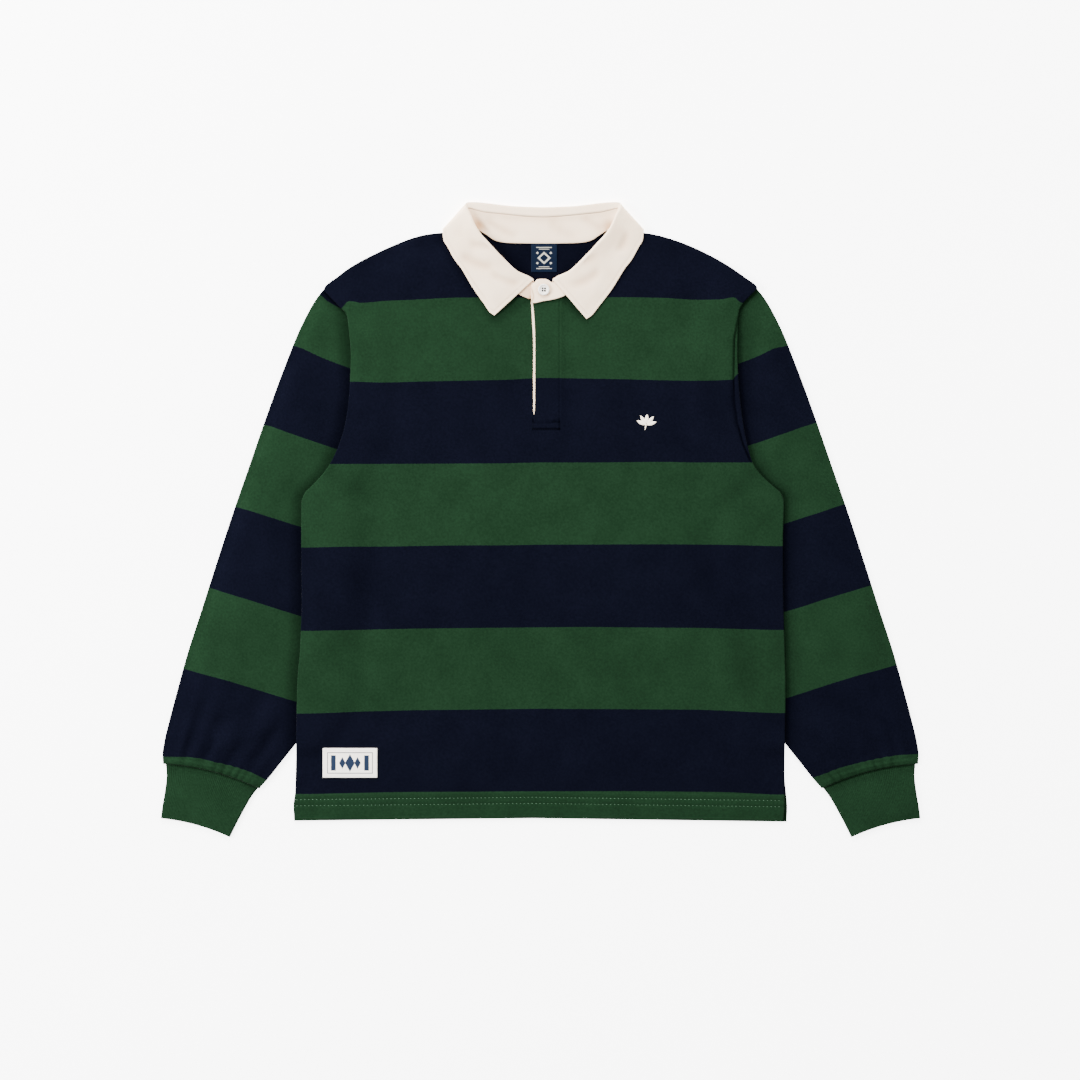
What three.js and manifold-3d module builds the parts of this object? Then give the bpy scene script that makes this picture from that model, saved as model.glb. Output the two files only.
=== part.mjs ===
// A long-sleeved rugby shirt laid flat, face up, in millimetres.
// +X is the viewer's right, +Y points to the collar and +Z up from the surface it lies on.
// The origin lies on that surface, at the middle of the shirt's width and height.
// Each cloth piece is a closed wall: a grid of points with an upper and a lower skin and a rim.
import * as THREE from "three";
import Module from "manifold-3d";

// Driving sizes
const GAP = 0.3;
const JERSEY = 1.4;
const TWILL = 1.5;
const RIB_WALL = 1.7;
const TAPE = 1.0;
const LABEL = 0.6;
const PATCH = 0.8;
const HEM_TURNING = 0.6;
const HEM_FOLD_Y = -328.6;
const NECK_X = 3.1;
const NECK_REACH = 91.2;
const TUBE_FLAT = 2 * JERSEY + GAP;
const SLEEVE_EASE = 0.25;
const SLEEVE_LIFT = TUBE_FLAT + GAP + SLEEVE_EASE;
const COLLAR_LIFT = TWILL + 1.5 * GAP;
const NECK_EASE = 0.2;
const STAND_EASE = 0.15;
const POINT_EASE = 0.1;
const PATCH_EASE = 0.15;
const BODY_CROWN = 2.6;
const SLEEVE_CROWN = 2.2;
const CUFF_PUFF = 3.2;
const GATHERS = 6;
const CUFF_RIBS = 22;
const RIB_HEIGHT = 0.5;
const BUTTON_RADIUS = 7;
const BUTTON_THICKNESS = 2.6;
const PLACKET_RIGHT_X = 22.1;

const COLOURS = {
  green: 0x23402b,
  navy: 0x0f131f,
  cream: 0xf7eee5,
  satin: 0x142d50,
  button: 0xf4f1ec,
};

// Body edges, top to bottom: height up the shirt, then the edge's place across it
const LEFT_EDGE = [
  [275.4, -260.2],
  [265.2, -250.3],
  [254.4, -240.0],
  [247.2, -232.6],
  [228.0, -229.9],
  [198.0, -227.5],
  [168.0, -228.4],
  [141.6, -230.2],
  [112.8, -234.7],
  [96.0, -239.5],
  [78.0, -246.7],
  [58.8, -258.1],
  [42.0, -273.1],
  [32.4, -282.7],
  [20.4, -286.6],
  [-24.0, -286.8],
  [-96.0, -286.3],
  [-150.0, -288.0],
  [-198.0, -291.7],
  [-270.0, -293.0],
  [-326.4, -294.5],
  [-342.0, -296.4],
  [-360.6, -295.6],
];
const RIGHT_EDGE = [
  [277.7, 259.9],
  [268.8, 251.3],
  [259.4, 242.3],
  [250.8, 237.6],
  [228.0, 236.2],
  [198.0, 235.9],
  [170.4, 237.1],
  [141.6, 239.5],
  [111.6, 243.5],
  [91.2, 247.6],
  [70.8, 253.1],
  [56.4, 262.1],
  [40.8, 278.3],
  [31.8, 288.5],
  [20.4, 291.6],
  [-24.0, 290.4],
  [-96.0, 290.9],
  [-150.0, 292.3],
  [-198.0, 293.5],
  [-270.0, 292.8],
  [-343.2, 292.3],
  [-361.8, 290.9],
];

// The back panel's side vent at the wearer's left hem: height, then how far it shows past the front
const VENT_FLARE = [
  [-309.0, 0.0],
  [-329.0, 2.2],
  [-341.0, 3.4],
  [-361.8, 4.2],
];

// Shoulder line: place across, then height
const LEFT_SHOULDER = [
  [-260.2, 275.4],
  [-257.5, 280.8],
  [-247.9, 288.0],
  [-228.7, 302.4],
  [-203.5, 316.8],
  [-172.3, 331.2],
  [-153.1, 338.4],
  [-138.7, 342.0],
  [-120.7, 344.2],
  [-102.7, 345.6],
  [-88.1, 348.6],
];
const RIGHT_SHOULDER = [
  [94.3, 348.6],
  [109.7, 345.6],
  [126.5, 343.9],
  [140.9, 341.4],
  [154.1, 337.8],
  [173.3, 331.2],
  [204.5, 316.8],
  [228.5, 302.4],
  [248.9, 288.0],
  [258.5, 280.8],
  [259.9, 277.7],
];

// Necklines: reach out from the neck's centre line, then height
const FRONT_NECK = [
  [0.0, 263.3],
  [9.6, 263.5],
  [15.6, 267.0],
  [25.2, 272.4],
  [39.0, 280.8],
  [52.8, 293.4],
  [66.0, 309.6],
  [75.6, 324.6],
  [82.2, 336.0],
  [86.8, 343.8],
  [91.2, 348.6],
];
const BACK_NECK = [
  [0.0, 335.0],
  [39.6, 335.6],
  [49.2, 336.6],
  [58.8, 339.0],
  [68.4, 345.0],
  [75.6, 348.2],
  [84.0, 349.7],
  [91.2, 348.6],
];

// Placket slit: height, then its left and right edges
const SLIT = [
  [266.0, -13.0, -9.4],
  [235.6, -11.1, -6.3],
  [210.0, -10.0, -5.7],
  [136.0, -9.9, -5.9],
  [121.3, -8.2, -8.2],
];
const SLIT_ROWS = 8;

// Rows down the body's left edge, and columns across its top, left and right of the slit
const BODY_ROWS = [
  275.4, 265.2, 254.4, 247.2, 228, 198, 165, 143, 130, 112.8, 96, 78, 58.8,
  42, 32.4, 20.4, -24, -90, -150, -210, -250, -268, -288, -326, HEM_FOLD_Y, -360.6,
];
const LEFT_COLUMNS = [
  -260.2, -240, -215, -198, -172, -146, -122, -102, -88.1, -84.5, -77, -66, -50, -30, -13,
];
const RIGHT_COLUMNS = [
  -9.4, 6, 23.5, 31, 56, 72, 83, 90.7, 94.3, 108, 128, 150, 178, 198, 215, 240, 259.9,
];
const HEM_MIDDLE_Y = -357.6;
const NECK_MIDDLE_Y = 263.4;

// Sleeve sections, shoulder to cuff: outer edge x, y, inner edge x, y, and the section's bow
const SLEEVE = [
  [-249.5, 288.4, -263.5, 27.6, 40.5],
  [-268.2, 266.6, -262.3, 22.8, 36.0],
  [-287.5, 231.6, -261.1, 15.6, 31.2],
  [-306.7, 184.8, -258.7, 3.6, 25.2],
  [-327.1, 129.6, -256.3, -15.6, 18.0],
  [-348.7, 67.2, -253.9, -43.2, 10.8],
  [-370.3, 4.8, -251.5, -78.0, 4.8],
  [-389.5, -54.0, -250.3, -120.0, 1.2],
  [-407.5, -110.4, -252.7, -168.0, 0.0],
  [-423.1, -158.4, -261.1, -212.4, 0.0],
  [-435.1, -201.6, -274.3, -243.6, 1.2],
  [-444.7, -237.6, -292.3, -266.8, 2.4],
  [-451.2, -264.4, -310.5, -289.6, 4.8],
  [-453.6, -280.8, -327.1, -310.6, 6.4],
  [-453.0, -290.4, -336.0, -320.4, 6.2],
];

// How much each sleeve section stands up as puff above the cuff, from 0 to 1
const PUFF = [0, 0, 0, 0, 0, 0, 0, 0, 0, 0.1, 0.35, 0.7, 1.0, 0.8, 0.1];

// Cuff sections, seam to end, with the same columns as the sleeve's
const CUFF = [
  [-449.6, -291.9, -338.2, -320.7, 6.2],
  [-448.6, -306.4, -346.3, -331.2, 5.4],
  [-451.0, -327.6, -354.7, -345.6, 4.2],
  [-453.7, -343.2, -363.7, -362.4, 3.6],
  [-455.5, -357.6, -372.7, -380.4, 3.6],
];

// Soft folds of the front: ends, half width and height, a trough where the height is negative
const BODY_FOLDS = [
  { from: [-205, -40], to: [-240, -190], width: 26, height: -1.3 },
  { from: [-178, -70], to: [-205, -230], width: 30, height: 0.9 },
  { from: [192, -30], to: [246, -210], width: 26, height: -1.4 },
  { from: [160, -60], to: [205, -240], width: 32, height: 0.9 },
  { from: [-120, 300], to: [-60, 210], width: 22, height: -0.5 },
];

// Collar sections from the front end to the back's middle, the same for both halves.
// A reach is a distance from the neck's centre line. The seam joins the body, the top joins the fall,
// the roll is where the fall turns over, and the edge is its free edge. turn is half the fold's height,
// lay the height midway out, side 1 over the front, 0 at the turn and -1 under the back, and
// front is 1 where the stand is sewn to the front and 0 where it is sewn to the back.
const COLLAR_COLUMNS = [
  "seamReach", "seamY", "topReach", "topY", "topZ", "rollReach", "rollY", "rollZ",
  "turn", "lay", "edgeReach", "edgeY", "side", "front",
];
const COLLAR = [
  [15.8, 265.2, 11.0, 285.1, 4.4, 11.5, 287.8, 5.4, 1.0, 6.5, 58.4, 245.0, 1, 1],
  [23.0, 267.6, 17.9, 289.4, 4.9, 18.2, 291.9, 6.1, 1.1, 7.3, 63.8, 248.6, 1, 1],
  [31.4, 271.7, 31.4, 294.6, 6.4, 30.4, 297.2, 8.1, 1.2, 8.4, 71.0, 259.0, 1, 1],
  [45.8, 281.6, 51.2, 311.4, 9.5, 49.8, 314.8, 11.5, 1.4, 9.6, 83.8, 277.4, 1, 1],
  [62.6, 299.4, 69.4, 330.5, 11.5, 67.4, 333.5, 13.8, 1.5, 9.6, 98.2, 301.4, 1, 1],
  [72.2, 312.6, 77.0, 339.4, 11.9, 74.7, 341.5, 14.3, 1.5, 10, 105.8, 311.4, 1, 1],
  [81.2, 327.6, 84.7, 352.2, 11.5, 82.3, 353.6, 14.0, 1.5, 10.2, 114.2, 326.4, 1, 1],
  [87.2, 339.0, 89.8, 364.4, 10.0, 87.5, 365.6, 12.3, 1.4, 9.8, 119.5, 336.2, 1, 1],
  [89.9, 345.0, 90.7, 370.2, 8.4, 91.4, 373.0, 10.2, 1.2, 8.8, 120.3, 345.2, 1, 1],
  [90.2, 348.6, 89.9, 373.7, 7.2, 92.6, 377.8, 7.4, 0.5, 5.2, 120.6, 347.8, 0, 1],
  [85.4, 348.8, 86.0, 373.0, 6.3, 89.4, 380.3, 5.2, -0.8, 1.9, 119.6, 346.0, -1, 0.45],
  [78.2, 347.3, 79.4, 371.2, 5.7, 81.8, 380.5, 4.0, -1.5, 1.2, 109.4, 337.2, -1, 0.1],
  [68.6, 342.0, 68.6, 368.9, 5.4, 66.2, 379.2, 3.4, -1.7, 0.85, 85.4, 331.8, -1, 0],
  [56.6, 334.6, 51.8, 367.2, 5.2, 51.8, 377.4, 3.1, -1.8, 0.8, 56.6, 329.4, -1, 0],
  [39.8, 332.0, 33.8, 365.3, 5.1, 33.8, 375.6, 3.0, -1.8, 0.76, 33.8, 328.4, -1, 0],
  [0.0, 331.4, 0.0, 363.1, 5.1, 0.0, 374.5, 3.0, -1.8, 0.76, 0.0, 327.8, -1, 0],
].map((row) => Object.fromEntries(row.map((value, i) => [COLLAR_COLUMNS[i], value])));

// The stand's overlapping end lies on its other end, so its front sections are raised
const OVERLAP_RISE = [1, 1, 0.85, 0.45, 0.12];

// The right point of the collar reaches further in and down than the left one
const RIGHT_POINT_SHIFT = [-6.5, -4.2];
const RIGHT_POINT_FADE = [1, 0.9, 0.55, 0.2, 0.05];

// Ends of the stand: x, y at the seam, y at the top
const STAND_UNDER_END = [
  [11.3, 268.8, 279.6],
  [10.1, 266.6, 283.7],
  [6.5, 265.6, 287.3],
  [1.7, 265.3, 289.0],
  [-4.3, 265.2, 288.2],
];
const STAND_OVER_END = [
  [9.9, 263.2, 287.0],
  [5.3, 262.6, 288.8],
  [-1.1, 261.2, 288.2],
  [-6.7, 259.9, 285.0],
  [-10.1, 260.2, 280.6],
  [-11.3, 263.8, 275.4],
];

// Small pieces
const NECK_LABEL = { left: -11.3, right: 19.7, top: 331.0, bottom: 297.2 };
const PATCH_LABEL = { left: -261, right: -195.8, top: -273.4, bottom: -308.8 };
const BUTTON_PLACE = [3.8, 275.9];
const BUTTON_HOLE_RADIUS = 0.9;
const BUTTON_HOLE_REACH = 1.7;

const smoothstep = THREE.MathUtils.smoothstep;
const lerp = THREE.MathUtils.lerp;

// A smooth curve through a table's rows that never overshoots them, level past both ends
function curveThrough(rows, column = 1) {
  const sorted = [...rows].sort((a, b) => a[0] - b[0]);
  const keys = sorted.map((row) => row[0]);
  const values = sorted.map((row) => row[column]);
  const slopes = keys.slice(1).map((key, i) => (values[i + 1] - values[i]) / (key - keys[i]));
  const tangents = keys.map((_, i) => {
    if (i === 0 || i === keys.length - 1) {
      return slopes[Math.min(i, slopes.length - 1)];
    }
    const before = slopes[i - 1];
    const after = slopes[i];
    return before * after <= 0 ? 0 : (2 * before * after) / (before + after);
  });
  return (key) => {
    if (key <= keys[0]) {
      return values[0];
    }
    if (key >= keys[keys.length - 1]) {
      return values[values.length - 1];
    }
    const i = keys.findIndex((other) => other > key) - 1;
    const span = keys[i + 1] - keys[i];
    const t = (key - keys[i]) / span;
    const start = values[i] * (1 + 2 * t) * (1 - t) ** 2 + tangents[i] * span * t * (1 - t) ** 2;
    const end = values[i + 1] * t * t * (3 - 2 * t) - tangents[i + 1] * span * t * t * (1 - t);
    return start + end;
  };
}

const leftEdge = curveThrough(LEFT_EDGE);
const rightEdge = curveThrough(RIGHT_EDGE);
const ventFlare = curveThrough(VENT_FLARE);
const leftShoulder = curveThrough(LEFT_SHOULDER);
const rightShoulder = curveThrough(RIGHT_SHOULDER);
const slitLeft = curveThrough(SLIT, 1);
const slitRight = curveThrough(SLIT, 2);

// Height of the panel's top line at a place across it
function topLine(neck) {
  const neckline = curveThrough(neck);
  return (x) => {
    const reach = Math.abs(x - NECK_X);
    if (reach < NECK_REACH) {
      return neckline(reach);
    }
    return x < 0 ? leftShoulder(x) : rightShoulder(x);
  };
}

const frontTopLine = topLine(FRONT_NECK);
const backTopLine = topLine(BACK_NECK);

// A point of a sleeve's or cuff's section line, u running from its outer to its inner edge
function sectionPoint([outerX, outerY, innerX, innerY, bow], u) {
  const length = Math.hypot(innerX - outerX, innerY - outerY);
  const out = (4 * u * (1 - u) * bow) / length;
  const x = lerp(outerX, innerX, u) - out * (innerY - outerY);
  const y = lerp(outerY, innerY, u) + out * (innerX - outerX);
  return [x, y];
}

// The hidden edge of the sleeve under the body: along its head, then down its inner edge
const HEAD_STEPS = 8;
const hiddenSleeve = curveThrough([
  ...Array.from({ length: HEAD_STEPS }, (_, i) => sectionPoint(SLEEVE[0], i / HEAD_STEPS)),
  ...SLEEVE.map(([, , x, y]) => [x, y]),
].map(([x, y]) => [y, x]));

// How high the cloth of the body is held over a sleeve's hidden edge, falling off inwards
const LIFT_FULL = 20;
const LIFT_END = 52;
const SLEEVE_CLEAR_Y = -269;
function sleeveLift(x, y) {
  const past = -hiddenSleeve(y) - Math.abs(x);
  const above = smoothstep(y, SLEEVE_CLEAR_Y - 20, SLEEVE_CLEAR_Y);
  return SLEEVE_LIFT * above * (1 - smoothstep(past, LIFT_FULL, LIFT_END));
}

// How high the body is held over the fall of the collar behind the neck
const UNDER_FALL_Y = [280, 325];
const UNDER_FALL_REACH = [124, 168];
function collarLift(x, y) {
  const across = 1 - smoothstep(Math.abs(x - NECK_X), ...UNDER_FALL_REACH);
  return COLLAR_LIFT * smoothstep(y, ...UNDER_FALL_Y) * across;
}

const backBottom = (x, y) => Math.max(sleeveLift(x, y), collarLift(x, y));
const backTop = (x, y) => backBottom(x, y) + JERSEY;

// A long soft ridge or trough between two points
function fold(x, y, { from, to, width, height }) {
  const dx = to[0] - from[0];
  const dy = to[1] - from[1];
  const length = Math.hypot(dx, dy);
  const along = ((x - from[0]) * dx + (y - from[1]) * dy) / length;
  const off = ((x - from[0]) * dy - (y - from[1]) * dx) / length;
  const fade = smoothstep(along, -width, width) * (1 - smoothstep(along, length - width, length + width));
  return height * fade * Math.exp(-((off / width) ** 2));
}

// Air and folds under the front, none at its edges
function bodyCrown(x, y) {
  const sides = Math.min(x - leftEdge(y), rightEdge(y) - x);
  const fromTop = frontTopLine(x) - y;
  const edges = smoothstep(sides, 0, 70) * smoothstep(fromTop, 0, 60) * smoothstep(y, -358, -290);
  const folds = BODY_FOLDS.reduce((sum, one) => sum + fold(x, y, one), 0);
  const placket = 1 - 0.85 * smoothstep(y, 90, 150) * (1 - smoothstep(Math.abs(x - 5), 25, 70));
  return Math.max(0, (BODY_CROWN + folds) * edges * placket);
}

// The right edge of the slit lies over the facing, and comes down past the facing's side and foot
const FACING_SIDE = [23.5, 31];
const FACING_FOOT = [96, 119];
function placketLift(x, y) {
  const middle = (slitLeft(y) + slitRight(y)) / 2;
  const across = x < middle - 0.05 ? 0 : 1 - smoothstep(x, ...FACING_SIDE);
  return (TAPE + GAP) * across * smoothstep(y, ...FACING_FOOT);
}

// A little air round the neck, where the front's and the back's rows part
const EASE_Y = [255, 275];
const EASE_REACH = [150, 180];
function neckEase(x, y) {
  return NECK_EASE * smoothstep(y, ...EASE_Y) * (1 - smoothstep(Math.abs(x - NECK_X), ...EASE_REACH));
}

const frontBase = (x, y) => backTop(x, y) + GAP + neckEase(x, y) + bodyCrown(x, y);
const frontBottom = (x, y) => frontBase(x, y) + placketLift(x, y);
const frontTop = (x, y) => frontBottom(x, y) + JERSEY;

// Turns an upper and a lower skin with the same faces into one closed wall
function wall(upper, lower, faces) {
  const count = upper.length;
  const used = new Set(faces.flatMap(([a, b, c]) => [`${a}_${b}`, `${b}_${c}`, `${c}_${a}`]));
  const triangles = [];
  for (const [a, b, c] of faces) {
    triangles.push([a, b, c], [c + count, b + count, a + count]);
    for (const [from, to] of [[a, b], [b, c], [c, a]]) {
      if (!used.has(`${to}_${from}`)) {
        triangles.push([to, from, from + count], [to, from + count, to + count]);
      }
    }
  }
  const points = [...upper, ...lower];
  const volume = triangles.reduce((sum, [a, b, c]) => {
    const [p, q, r] = [points[a], points[b], points[c]];
    return sum + p[0] * (q[1] * r[2] - q[2] * r[1]) - p[1] * (q[0] * r[2] - q[2] * r[0])
      + p[2] * (q[0] * r[1] - q[1] * r[0]);
  }, 0);
  const index = triangles.flatMap(([a, b, c]) => (volume < 0 ? [c, b, a] : [a, b, c]));
  const geometry = new THREE.BufferGeometry();
  geometry.setAttribute("position", new THREE.Float32BufferAttribute(points.flat(), 3));
  geometry.setIndex(index);
  geometry.computeVertexNormals();
  return geometry;
}

// Two triangles for each cell of a grid stored row by row; rings close when wrap is true
function gridFaces(rows, columns, wrap = false) {
  const faces = [];
  const last = wrap ? columns : columns - 1;
  for (let row = 0; row < rows - 1; row += 1) {
    for (let column = 0; column < last; column += 1) {
      const next = (column + 1) % columns;
      const a = row * columns + column;
      const b = row * columns + next;
      const c = (row + 1) * columns + next;
      const d = (row + 1) * columns + column;
      faces.push([a, d, c], [a, c, b]);
    }
  }
  return faces;
}

function clothMaterial(color, roughness) {
  return new THREE.MeshStandardMaterial({ color, roughness, metalness: 0 });
}

function named(name, geometry, material) {
  const mesh = new THREE.Mesh(geometry, material);
  mesh.name = name;
  return mesh;
}

const jerseyGreen = () => clothMaterial(COLOURS.green, 0.9);
const jerseyNavy = () => clothMaterial(COLOURS.navy, 0.9);
const creamTwill = () => clothMaterial(COLOURS.cream, 0.85);

// The plan of one body panel: rows of points, the column at the slit standing twice
function bodyPlan(top, flare) {
  const firstY = BODY_ROWS[0];
  const span = firstY - BODY_ROWS[BODY_ROWS.length - 1];
  const rightSpan = RIGHT_EDGE[0][0] - RIGHT_EDGE[RIGHT_EDGE.length - 1][0];
  return BODY_ROWS.map((rowY) => {
    const v = (firstY - rowY) / span;
    const fade = (1 - v) ** 3;
    const rightY = RIGHT_EDGE[0][0] - v * rightSpan;
    const middleY = lerp(NECK_MIDDLE_Y, HEM_MIDDLE_Y, v);
    const half = (columns, outer, middle) => {
      const start = columns[0];
      const end = columns[columns.length - 1];
      return columns.map((column) => {
        const u = (column - start) / (end - start);
        const [a, b] = outer.side < 0 ? [outer, middle] : [middle, outer];
        const straight = lerp(a.topY, b.topY, u);
        return [lerp(a.x, b.x, u), lerp(a.y, b.y, u) + fade * (top(column) - straight)];
      });
    };
    const left = { side: -1, x: leftEdge(rowY), y: rowY, topY: firstY };
    const right = { side: 1, x: rightEdge(rightY) + flare(rightY), y: rightY, topY: RIGHT_EDGE[0][0] };
    const middle = (x) => ({ x: x(middleY), y: middleY, topY: NECK_MIDDLE_Y });
    return [
      ...half(LEFT_COLUMNS, left, middle(slitLeft)),
      ...half(RIGHT_COLUMNS, right, middle(slitRight)),
    ];
  });
}

// Body panel: open slit down to a row of its own on the front, none on the back
function bodyPanel(name, plan, bottom, thickness, slitRows, material) {
  const columns = LEFT_COLUMNS.length + RIGHT_COLUMNS.length;
  const seamColumn = LEFT_COLUMNS.length;
  const points = plan.flat();
  const lower = points.map(([x, y]) => [x, y, bottom(x, y)]);
  const upper = lower.map(([x, y, z], i) => [x, y, z + thickness(Math.floor(i / columns))]);
  const join = (index) => {
    const row = Math.floor(index / columns);
    return index % columns === seamColumn && row >= slitRows ? index - 1 : index;
  };
  const faces = gridFaces(plan.length, columns)
    .filter((face) => {
      const touched = face.map((index) => index % columns);
      return !(touched.includes(seamColumn) && touched.includes(seamColumn - 1));
    })
    .map((face) => face.map(join));
  return named(name, compact(upper, lower, faces), material);
}

// Drops the points that no face uses and builds the wall
function compact(upper, lower, faces) {
  const kept = [...new Set(faces.flat())].sort((a, b) => a - b);
  const place = new Map(kept.map((old, i) => [old, i]));
  const pick = (points) => kept.map((index) => points[index]);
  return wall(pick(upper), pick(lower), faces.map((face) => face.map((index) => place.get(index))));
}

function backPanel() {
  const plan = bodyPlan(backTopLine, ventFlare);
  const columns = LEFT_COLUMNS.length;
  const closed = plan.map((row) => {
    const middle = [(row[columns - 1][0] + row[columns][0]) / 2, row[columns - 1][1]];
    return row.map((point, i) => (i === columns - 1 || i === columns ? middle : point));
  });
  return bodyPanel("back_panel", closed, backBottom, () => JERSEY, 0, jerseyNavy());
}

function frontPanel() {
  const hemRow = BODY_ROWS.indexOf(HEM_FOLD_Y);
  const thickness = (row) => (row >= hemRow ? JERSEY + HEM_TURNING : JERSEY);
  const plan = bodyPlan(frontTopLine, () => 0);
  const columns = LEFT_COLUMNS.length;
  const joined = plan.map((row, i) => {
    const middle = [(row[columns - 1][0] + row[columns][0]) / 2, row[columns - 1][1]];
    return row.map((point, j) => (i >= SLIT_ROWS && (j === columns - 1 || j === columns) ? middle : point));
  });
  return bodyPanel("front_panel", joined, frontBottom, thickness, SLIT_ROWS, jerseyGreen());
}

// Places round a flattened tube: distance in from one edge, or a share of the width, and its face
function tubeRing(topShares, bottomShares) {
  const near = [0.6, 2.4];
  return [
    { inset: 0, side: 0, face: 0 },
    ...near.map((inset) => ({ inset, side: 0, face: 1 })),
    ...topShares.map((share) => ({ share, face: 1 })),
    ...[...near].reverse().map((inset) => ({ inset, side: 1, face: 1 })),
    { inset: 0, side: 1, face: 0 },
    ...near.map((inset) => ({ inset, side: 1, face: -1 })),
    ...bottomShares.map((share) => ({ share: 1 - share, face: -1 })),
    ...[...near].reverse().map((inset) => ({ inset, side: 0, face: -1 })),
  ];
}

// A flattened open tube of cloth; raise gives the upper face's extra height, ridge its outer relief
function flatTube(sections, ring, thickness, raise, ridge) {
  const flat = 2 * thickness + GAP;
  const outer = [];
  const inner = [];
  sections.forEach((section, i) => {
    const width = Math.hypot(section[2] - section[0], section[3] - section[1]);
    for (const [k, place] of ring.entries()) {
      const inset = place.inset ?? 0;
      const share = place.share ?? (place.side ? 1 - inset / width : inset / width);
      const inward = thickness * 1.05 - inset * 0.4;
      const innerShare = place.share ?? (place.side ? share - inward / width : share + inward / width);
      const [x, y] = sectionPoint(section, share);
      const [innerX, innerY] = sectionPoint(section, innerShare);
      const rounding = place.inset === 0.6 ? 0.45 : 0;
      const lift = place.face > 0 ? raise(x, y, share, i) : 0;
      const relief = place.face > 0 && place.share !== undefined ? ridge(k) : 0;
      const outerZ = { 1: flat - rounding + lift + relief, 0: flat / 2, "-1": rounding }[place.face];
      const innerZ = { 1: flat - thickness + lift, 0: flat / 2, "-1": thickness }[place.face];
      outer.push([x, y, outerZ]);
      inner.push([innerX, innerY, innerZ]);
    }
  });
  return { outer, inner, faces: gridFaces(sections.length, ring.length, true) };
}

const evenShares = (count) => Array.from({ length: count }, (_, i) => (i + 1) / (count + 1));
const mirrored = (points, hand) => points.map(([x, y, z]) => [hand * x, y, z]);

// Air under a sleeve's upper face, none where the body lies on it, and gathers above the cuff
function sleeveRaise(hand, phase) {
  const bodyEdge = (y) => (hand < 0 ? -leftEdge(y) : rightEdge(y));
  return (x, y, share, i) => {
    const width = Math.hypot(SLEEVE[i][2] - SLEEVE[i][0], SLEEVE[i][3] - SLEEVE[i][1]);
    const edges = smoothstep(share * width, 1, 26) * smoothstep((1 - share) * width, 1, 26);
    const clear = smoothstep(-x - bodyEdge(y), 10, 45);
    const waves = 1 + 0.45 * Math.sin(2 * Math.PI * GATHERS * (share + 0.06 * Math.sin(5 * share)) + phase);
    return edges * clear * (SLEEVE_CROWN * (1 - PUFF[i]) * Math.min(1, i / 3) * (i < 14 ? 1 : 0)
      + CUFF_PUFF * PUFF[i] * waves / 1.45);
  };
}

function sleeve(name, hand, phase) {
  const ring = tubeRing(evenShares(20), evenShares(5));
  const { outer, inner, faces } = flatTube(SLEEVE, ring, JERSEY, sleeveRaise(hand, phase), () => 0);
  return named(name, wall(mirrored(outer, -hand), mirrored(inner, -hand), faces), jerseyNavy());
}

function cuff(name, hand) {
  const ring = tubeRing(evenShares(2 * CUFF_RIBS - 1), evenShares(5));
  const ridge = (k) => (k % 2 === 0 ? RIB_HEIGHT : 0);
  const { outer, inner, faces } = flatTube(CUFF, ring, RIB_WALL, () => 0, ridge);
  return named(name, wall(mirrored(outer, -hand), mirrored(inner, -hand), faces), jerseyGreen());
}

// One collar section as points in space; hand is -1 for the left half and 1 for the right
function collarSection(index, hand) {
  const row = COLLAR[index];
  const rise = hand > 0 ? (COLLAR_LIFT * (OVERLAP_RISE[index] ?? 0)) : 0;
  const shift = hand > 0 ? (RIGHT_POINT_FADE[index] ?? 0) : 0;
  const place = (reach, y, z) => new THREE.Vector3(NECK_X + hand * reach, y, z + rise);
  const seam = place(row.seamReach, row.seamY, 0);
  const body = backTop(seam.x, seam.y) + row.front * (GAP + JERSEY + neckEase(seam.x, seam.y));
  seam.z += body + GAP + STAND_EASE + TWILL / 2;
  const edge = place(row.edgeReach, row.edgeY, 0);
  edge.x += shift * RIGHT_POINT_SHIFT[0];
  edge.y += shift * RIGHT_POINT_SHIFT[1];
  const onTop = frontTop(edge.x, edge.y) + GAP + POINT_EASE + TWILL / 2;
  edge.z = lerp(TWILL / 2, onTop, (row.side + 1) / 2);
  const top = place(row.topReach, row.topY, row.topZ);
  const roll = place(row.rollReach, row.rollY, row.rollZ);
  return { seam, top, roll, edge, turn: row.turn, lay: row.lay + rise };
}

// All sections in order, from the under end round the back to the overlapping end
function collarRing() {
  const left = COLLAR.map((_, i) => collarSection(i, -1));
  const right = COLLAR.slice(0, -1).map((_, i) => collarSection(i, 1)).reverse();
  return [...left, ...right];
}

// Places along the collar where its walls have a section, closer at its ends and over the shoulders
const COLLAR_STOPS = (() => {
  const last = 2 * (COLLAR.length - 1);
  const close = [[0, 3], [6, 12], [last - 12, last - 6], [last - 3, last]];
  const halves = Array.from({ length: 2 * last + 1 }, (_, i) => i / 2);
  return halves.filter((t) => Number.isInteger(t) || close.some(([a, b]) => t > a && t < b));
})();

// Sections at those places, on smooth curves through the table's sections
function refined(sections) {
  const tracks = sections[0].map((_, k) => ["x", "y", "z"].map(
    (axis) => curveThrough(sections.map((section, i) => [i, section[k][axis]])),
  ));
  return COLLAR_STOPS.map((t) => tracks.map(([x, y, z]) => new THREE.Vector3(x(t), y(t), z(t))));
}

// Skins either side of a middle surface stored row by row
function offsetSkins(middle, rows, columns, thickness) {
  const at = (row, column) => middle[row * columns + column];
  const upper = [];
  const lower = [];
  for (let row = 0; row < rows; row += 1) {
    for (let column = 0; column < columns; column += 1) {
      const along = at(Math.min(row + 1, rows - 1), column).clone().sub(at(Math.max(row - 1, 0), column));
      const across = at(row, Math.min(column + 1, columns - 1)).clone()
        .sub(at(row, Math.max(column - 1, 0)));
      const normal = along.cross(across).normalize().multiplyScalar(thickness / 2);
      const point = at(row, column);
      upper.push(point.clone().add(normal).toArray());
      lower.push(point.clone().sub(normal).toArray());
    }
  }
  return { upper, lower };
}

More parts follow.
